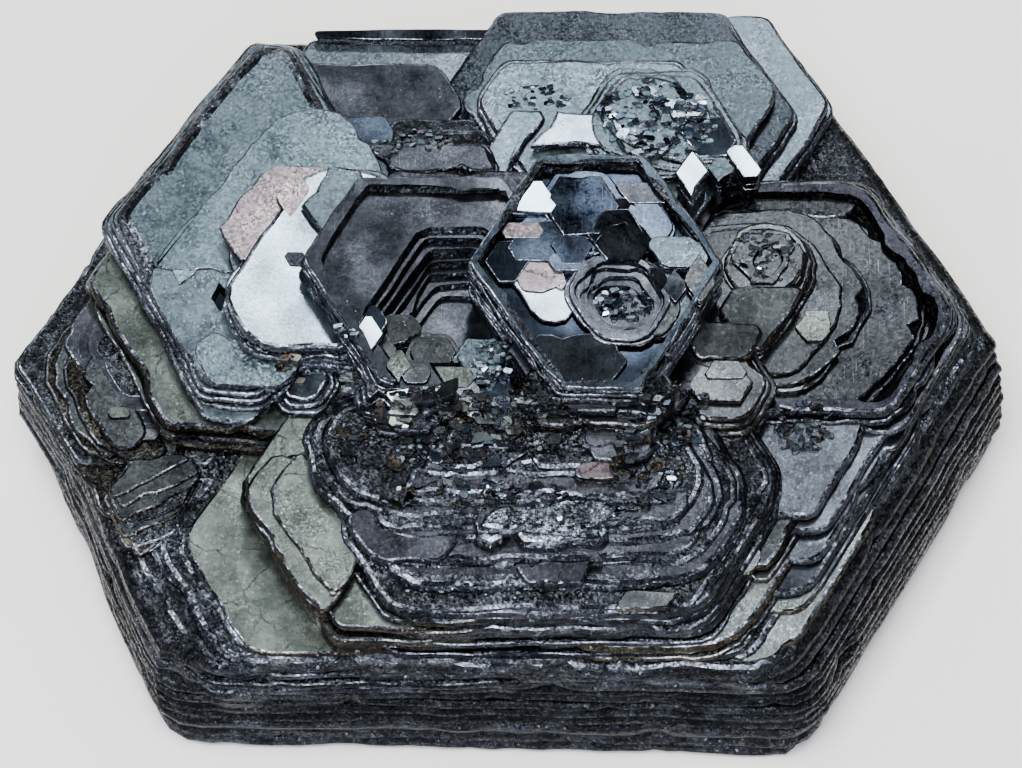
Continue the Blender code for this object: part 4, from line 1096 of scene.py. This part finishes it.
slopes = {      # folds from a lower outline to an upper one: heights, roots and looks
    "front slope": {
        "at": (-1, -20), "count": 11, "heights": (21.9, 24.7), "root": 16,
        "lower": (22.0, 18.0, 12.2, 11.4, 6.2, 18.0), "upper": (12.0, 11.0, 8.6, 6.4, -5.4, 8.6),
        "stray": 0.6, "looks": (broken, broken, broken, murk),
        "form": {"corner": 3.5, "rough": 2.5, "drape": 0.8, "bulge": 0.5, "edge": -0.07}},
    "high foot": {
        "at": (6.5, -9), "count": 4, "heights": (26.0, 27.6), "root": 16,
        "lower": (7, 3, 7, 6.8, 3.2, 7), "upper": (6, 3, 6, 6.0, 1.8, 6.0),
        "stray": 0.3, "looks": (broken, murk, greyOlive),
        "form": {"corner": 1.5, "rough": 2.6, "drape": 0.4, "bulge": 0.4}},
    "dark foot": {
        "at": (-9, -9.5), "count": 3, "heights": (25.2, 26.8), "root": 16,
        "lower": (4, 2, 5, 4.4, 2.6, 4), "upper": (3, 2, 4, 3.4, 0.8, 3),
        "stray": 0.3, "looks": (broken, murk),
        "form": {"corner": 1.5, "rough": 2.6, "drape": 0.4, "bulge": 0.4}},
    "front foot": {
        "at": (-1, -20), "count": 4, "heights": (19.4, 21.0), "root": 14,
        "lower": (25.5, 16, 13.4, 12.7, 9.2, 20.2), "upper": (24.5, 16, 13.0, 12.6, 8.6, 19.2),
        "stray": 0.15, "looks": (broken,),
        "form": {"corner": 3.0, "rough": 1.8, "drape": 0.5, "bulge": 0.5, "edge": -0.08}},
    "south-west slope": {
        "at": (-18, -20), "count": 4, "heights": (15.3, 15.9), "root": 12,
        "lower": (40, 31.5, 15.2, 13.4, 10.9, 42), "upper": (34, 29, 12.4, 10.4, 9.9, 38),
        "stray": 0.25, "looks": (broken,),
        "form": {"corner": 2.5, "rough": 2.0, "drape": 0.9}},
    "left slope": {
        "at": (-33, -1), "count": 3, "heights": (15.3, 15.85), "root": 12,
        "lower": (26, 24, 9.4, 7.6, 14, 20), "upper": (24, 20, 8.6, 6.2, 12, 20),
        "stray": 0.2, "looks": (broken,),
        "form": {"corner": 2.5, "rough": 2.0, "drape": 0.8}},
    "left stripes": {
        "at": (-31.6, -14.6), "count": 7, "heights": (15.6, 16.9), "root": 12,
        "lower": (5, 5, 5, 4.2, 4.2, 2.8), "upper": (5, 5, 4.4, 3.0, -1.7, 2.2),
        "stray": 0.3, "looks": (broken, brown, brown, murk),
        "form": {"corner": 0.8, "rough": 2.0, "drape": 0.3, "bulge": 0.3, "edge": 0.12,
                 "skew": (0, 0, 0, 0, 28, 0)}},
    "right slope": {
        "at": (29, -12), "count": 5, "heights": (15.4, 16.8), "root": 12,
        "lower": (19.8, 28, 20, 30, 6.0, 5.2), "upper": (17.4, 26, 18, 30, 2.0, 2.4),
        "stray": 0.3, "looks": (broken, broken, murk),
        "form": {"corner": 3.0, "rough": 2.0, "drape": 1.0}},
}


def growSlopes(group):
    for name, slope in slopes.items():
        luck = random.Random(name)
        for step in range(slope["count"]):
            share = step / (slope["count"] - 1)
            sides = tuple(low + (high - low) * share + luck.uniform(-1, 1) * slope["stray"]
                          for low, high in zip(slope["lower"], slope["upper"]))
            low, high = slope["heights"]
            form = {"turn": luck.uniform(-1.5, 1.5), **luck.choice(slope["looks"]), **slope["form"]}
            plate(group, "%s %d" % (name, step), slope["at"], sides, slope["root"],
                  low + (high - low) * share, **form)


def growRose():
    body = growFooting()
    outer = newGroup("outer crystals")
    for crystals in (shelves, leftContours, backCrystals, farCrystals, leftStack, rightTerraces,
                     frontBlocks, middleCrystals):
        grow(outer, crystals)
    growSlopes(outer)
    grow(outer, frontFlats)
    joinWith(body, outer, "UNION")

    for name, make, table, operation in (
            ("hollows", cut, firstHollows, "DIFFERENCE"),
            ("high crystals", grow, highCrystals, "UNION"),
            ("high hollows", cut, highHollows, "DIFFERENCE"),
            ("inner crystals", partial(grow, **crisp), innerCrystals, "UNION"),
            ("ring well", cut, wellHollow, "DIFFERENCE")):
        group = newGroup(name)
        make(group, table)
        joinWith(body, group, operation)

    small = newGroup("small crystals")
    surface = BVHTree.FromPolygons([vert.co for vert in body.data.vertices],
                                   [face.vertices for face in body.data.polygons])
    for name, cluster in clusters.items():
        growCluster(small, surface, name, *cluster)
    joinWith(body, small, "UNION")

    # long thin faces with many corners show black gaps unless they are cut up evenly
    bm = bmesh.new()
    bm.from_mesh(body.data)
    many = [face for face in bm.faces if len(face.verts) > 4]
    bmesh.ops.triangulate(bm, faces=many, ngon_method="BEAUTY")
    bm.to_mesh(body.data)
    bm.free()

    low, high = cadBox
    for vert in body.data.vertices:
        for axis in range(3):
            vert.co[axis] = min(max(vert.co[axis], low[axis]), high[axis])
    body.data.calc_loop_triangles()
    print("rose:", len(body.data.loop_triangles), "triangles")
    body.data.set_sharp_from_angle(angle=math.radians(leaves["crease"]))
    for face in body.data.polygons:
        face.use_smooth = face.material_index != slotFace
    return body


studio = {      # a white floor and softboxes, which the faces mirror
    "floor": "eeece9",
    "floorReach": 3.0,      # half its width in metres
    "world": "8b9296",
    "worldStrength": 0.25,
    # each light: direction, distance and width in metres, brightness, colour
    "lights": {
        "overhead softbox": ((-0.1, -0.2, 1.0), 1.0, 0.5, 26.0, "fffdf8"),
        "canopy": ((0.0, -0.57, 0.82), 1.0, 0.5, 9.0, "e6ebff"),
        "high sheet": ((-0.06, 0.42, 0.91), 1.1, 0.5, 0.5, "eef4f4"),
        "back softbox": ((0.103, 0.573, 0.812), 0.9, 0.14, 18.0, "ffffff"),
        "back sheet": ((0.0, 0.95, 0.45), 1.0, 0.7, 1.8, "e6f2f5"),
        "left softbox": ((-0.9, 0.1, 0.5), 0.9, 0.4, 5.0, "eef2ff"),
        "right softbox": ((0.95, -0.1, 0.35), 0.9, 0.3, 3.0, "e8ecff"),
        "front softbox": ((0.1, -0.87, 0.45), 0.9, 0.4, 2.6, "f2f2ff"),
    },
}


def paperMaterial():
    # matt studio paper: pale and even, with the faintest tooth
    material, add = newMaterial("matt studio paper")
    coords = add("TexCoord", {}).outputs["Object"]
    tooth = add("TexNoise", {"Vector": coords, "Scale": repeats(0.8)})
    bump = add("Bump", {"Strength": 0.3, "Distance": 0.02 * mm, "Height": tooth})
    shader = add("BsdfPrincipled", {"Base Color": studio["floor"], "Roughness": 0.9,
        "Normal": bump})
    add("OutputMaterial", {"Surface": shader})
    return material


def lookAt(item, target):
    item.rotation_euler = (target - item.location).to_track_quat("-Z", "Y").to_euler()


def makeStudio():
    bm = bmesh.new()
    bmesh.ops.create_grid(bm, x_segments=1, y_segments=1, size=studio["floorReach"])
    mesh = bpy.data.meshes.new("studio_floor")
    bm.to_mesh(mesh)
    bm.free()
    floor = bpy.data.objects.new("studio_floor", mesh)
    mesh.materials.append(paperMaterial())
    bpy.context.scene.collection.objects.link(floor)

    world = bpy.data.worlds.new("studio")
    world.use_nodes = True
    background = world.node_tree.nodes["Background"]
    background.inputs["Color"].default_value = fromHex(studio["world"])
    background.inputs["Strength"].default_value = studio["worldStrength"]
    bpy.context.scene.world = world

    for name, (direction, distance, width, brightness, colour) in studio["lights"].items():
        light = bpy.data.lights.new(name, "AREA")
        light.shape = "SQUARE"
        light.size = width
        light.energy = brightness * math.pi * width * width
        light.color = fromHex(colour)[:3]
        lamp = bpy.data.objects.new(name, light)
        lamp.location = Vector(direction).normalized() * distance
        lookAt(lamp, Vector((0, 0, 0)))
        lamp.visible_camera = False
        bpy.context.scene.collection.objects.link(lamp)


view = {      # a long lens, 60 degrees above the floor; its places are in metres
    "lens": 200,
    "sensor": 36,
    "place": (-0.0001, -0.2604, 0.4590),
    "target": (-0.0001, -0.0023, 0.012),
}


def makeCamera():
    camera = bpy.data.objects.new("camera", bpy.data.cameras.new("camera"))
    camera.data.lens = view["lens"]
    camera.data.sensor_width = view["sensor"]
    camera.location = view["place"]
    lookAt(camera, Vector(view["target"]))
    bpy.context.scene.collection.objects.link(camera)
    bpy.context.scene.camera = camera


roseMaterials = [basalFaceMaterial(), leafRimMaterial(), leafEdgeMaterial()]
print("materials made")
rose = growRose()
rose.name = "rose_crystals"
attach(rose, "root")
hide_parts("hematite_rose")
print("rose grown:", len(rose.data.vertices), "points")
makeStudio()
makeCamera()
print("studio made")
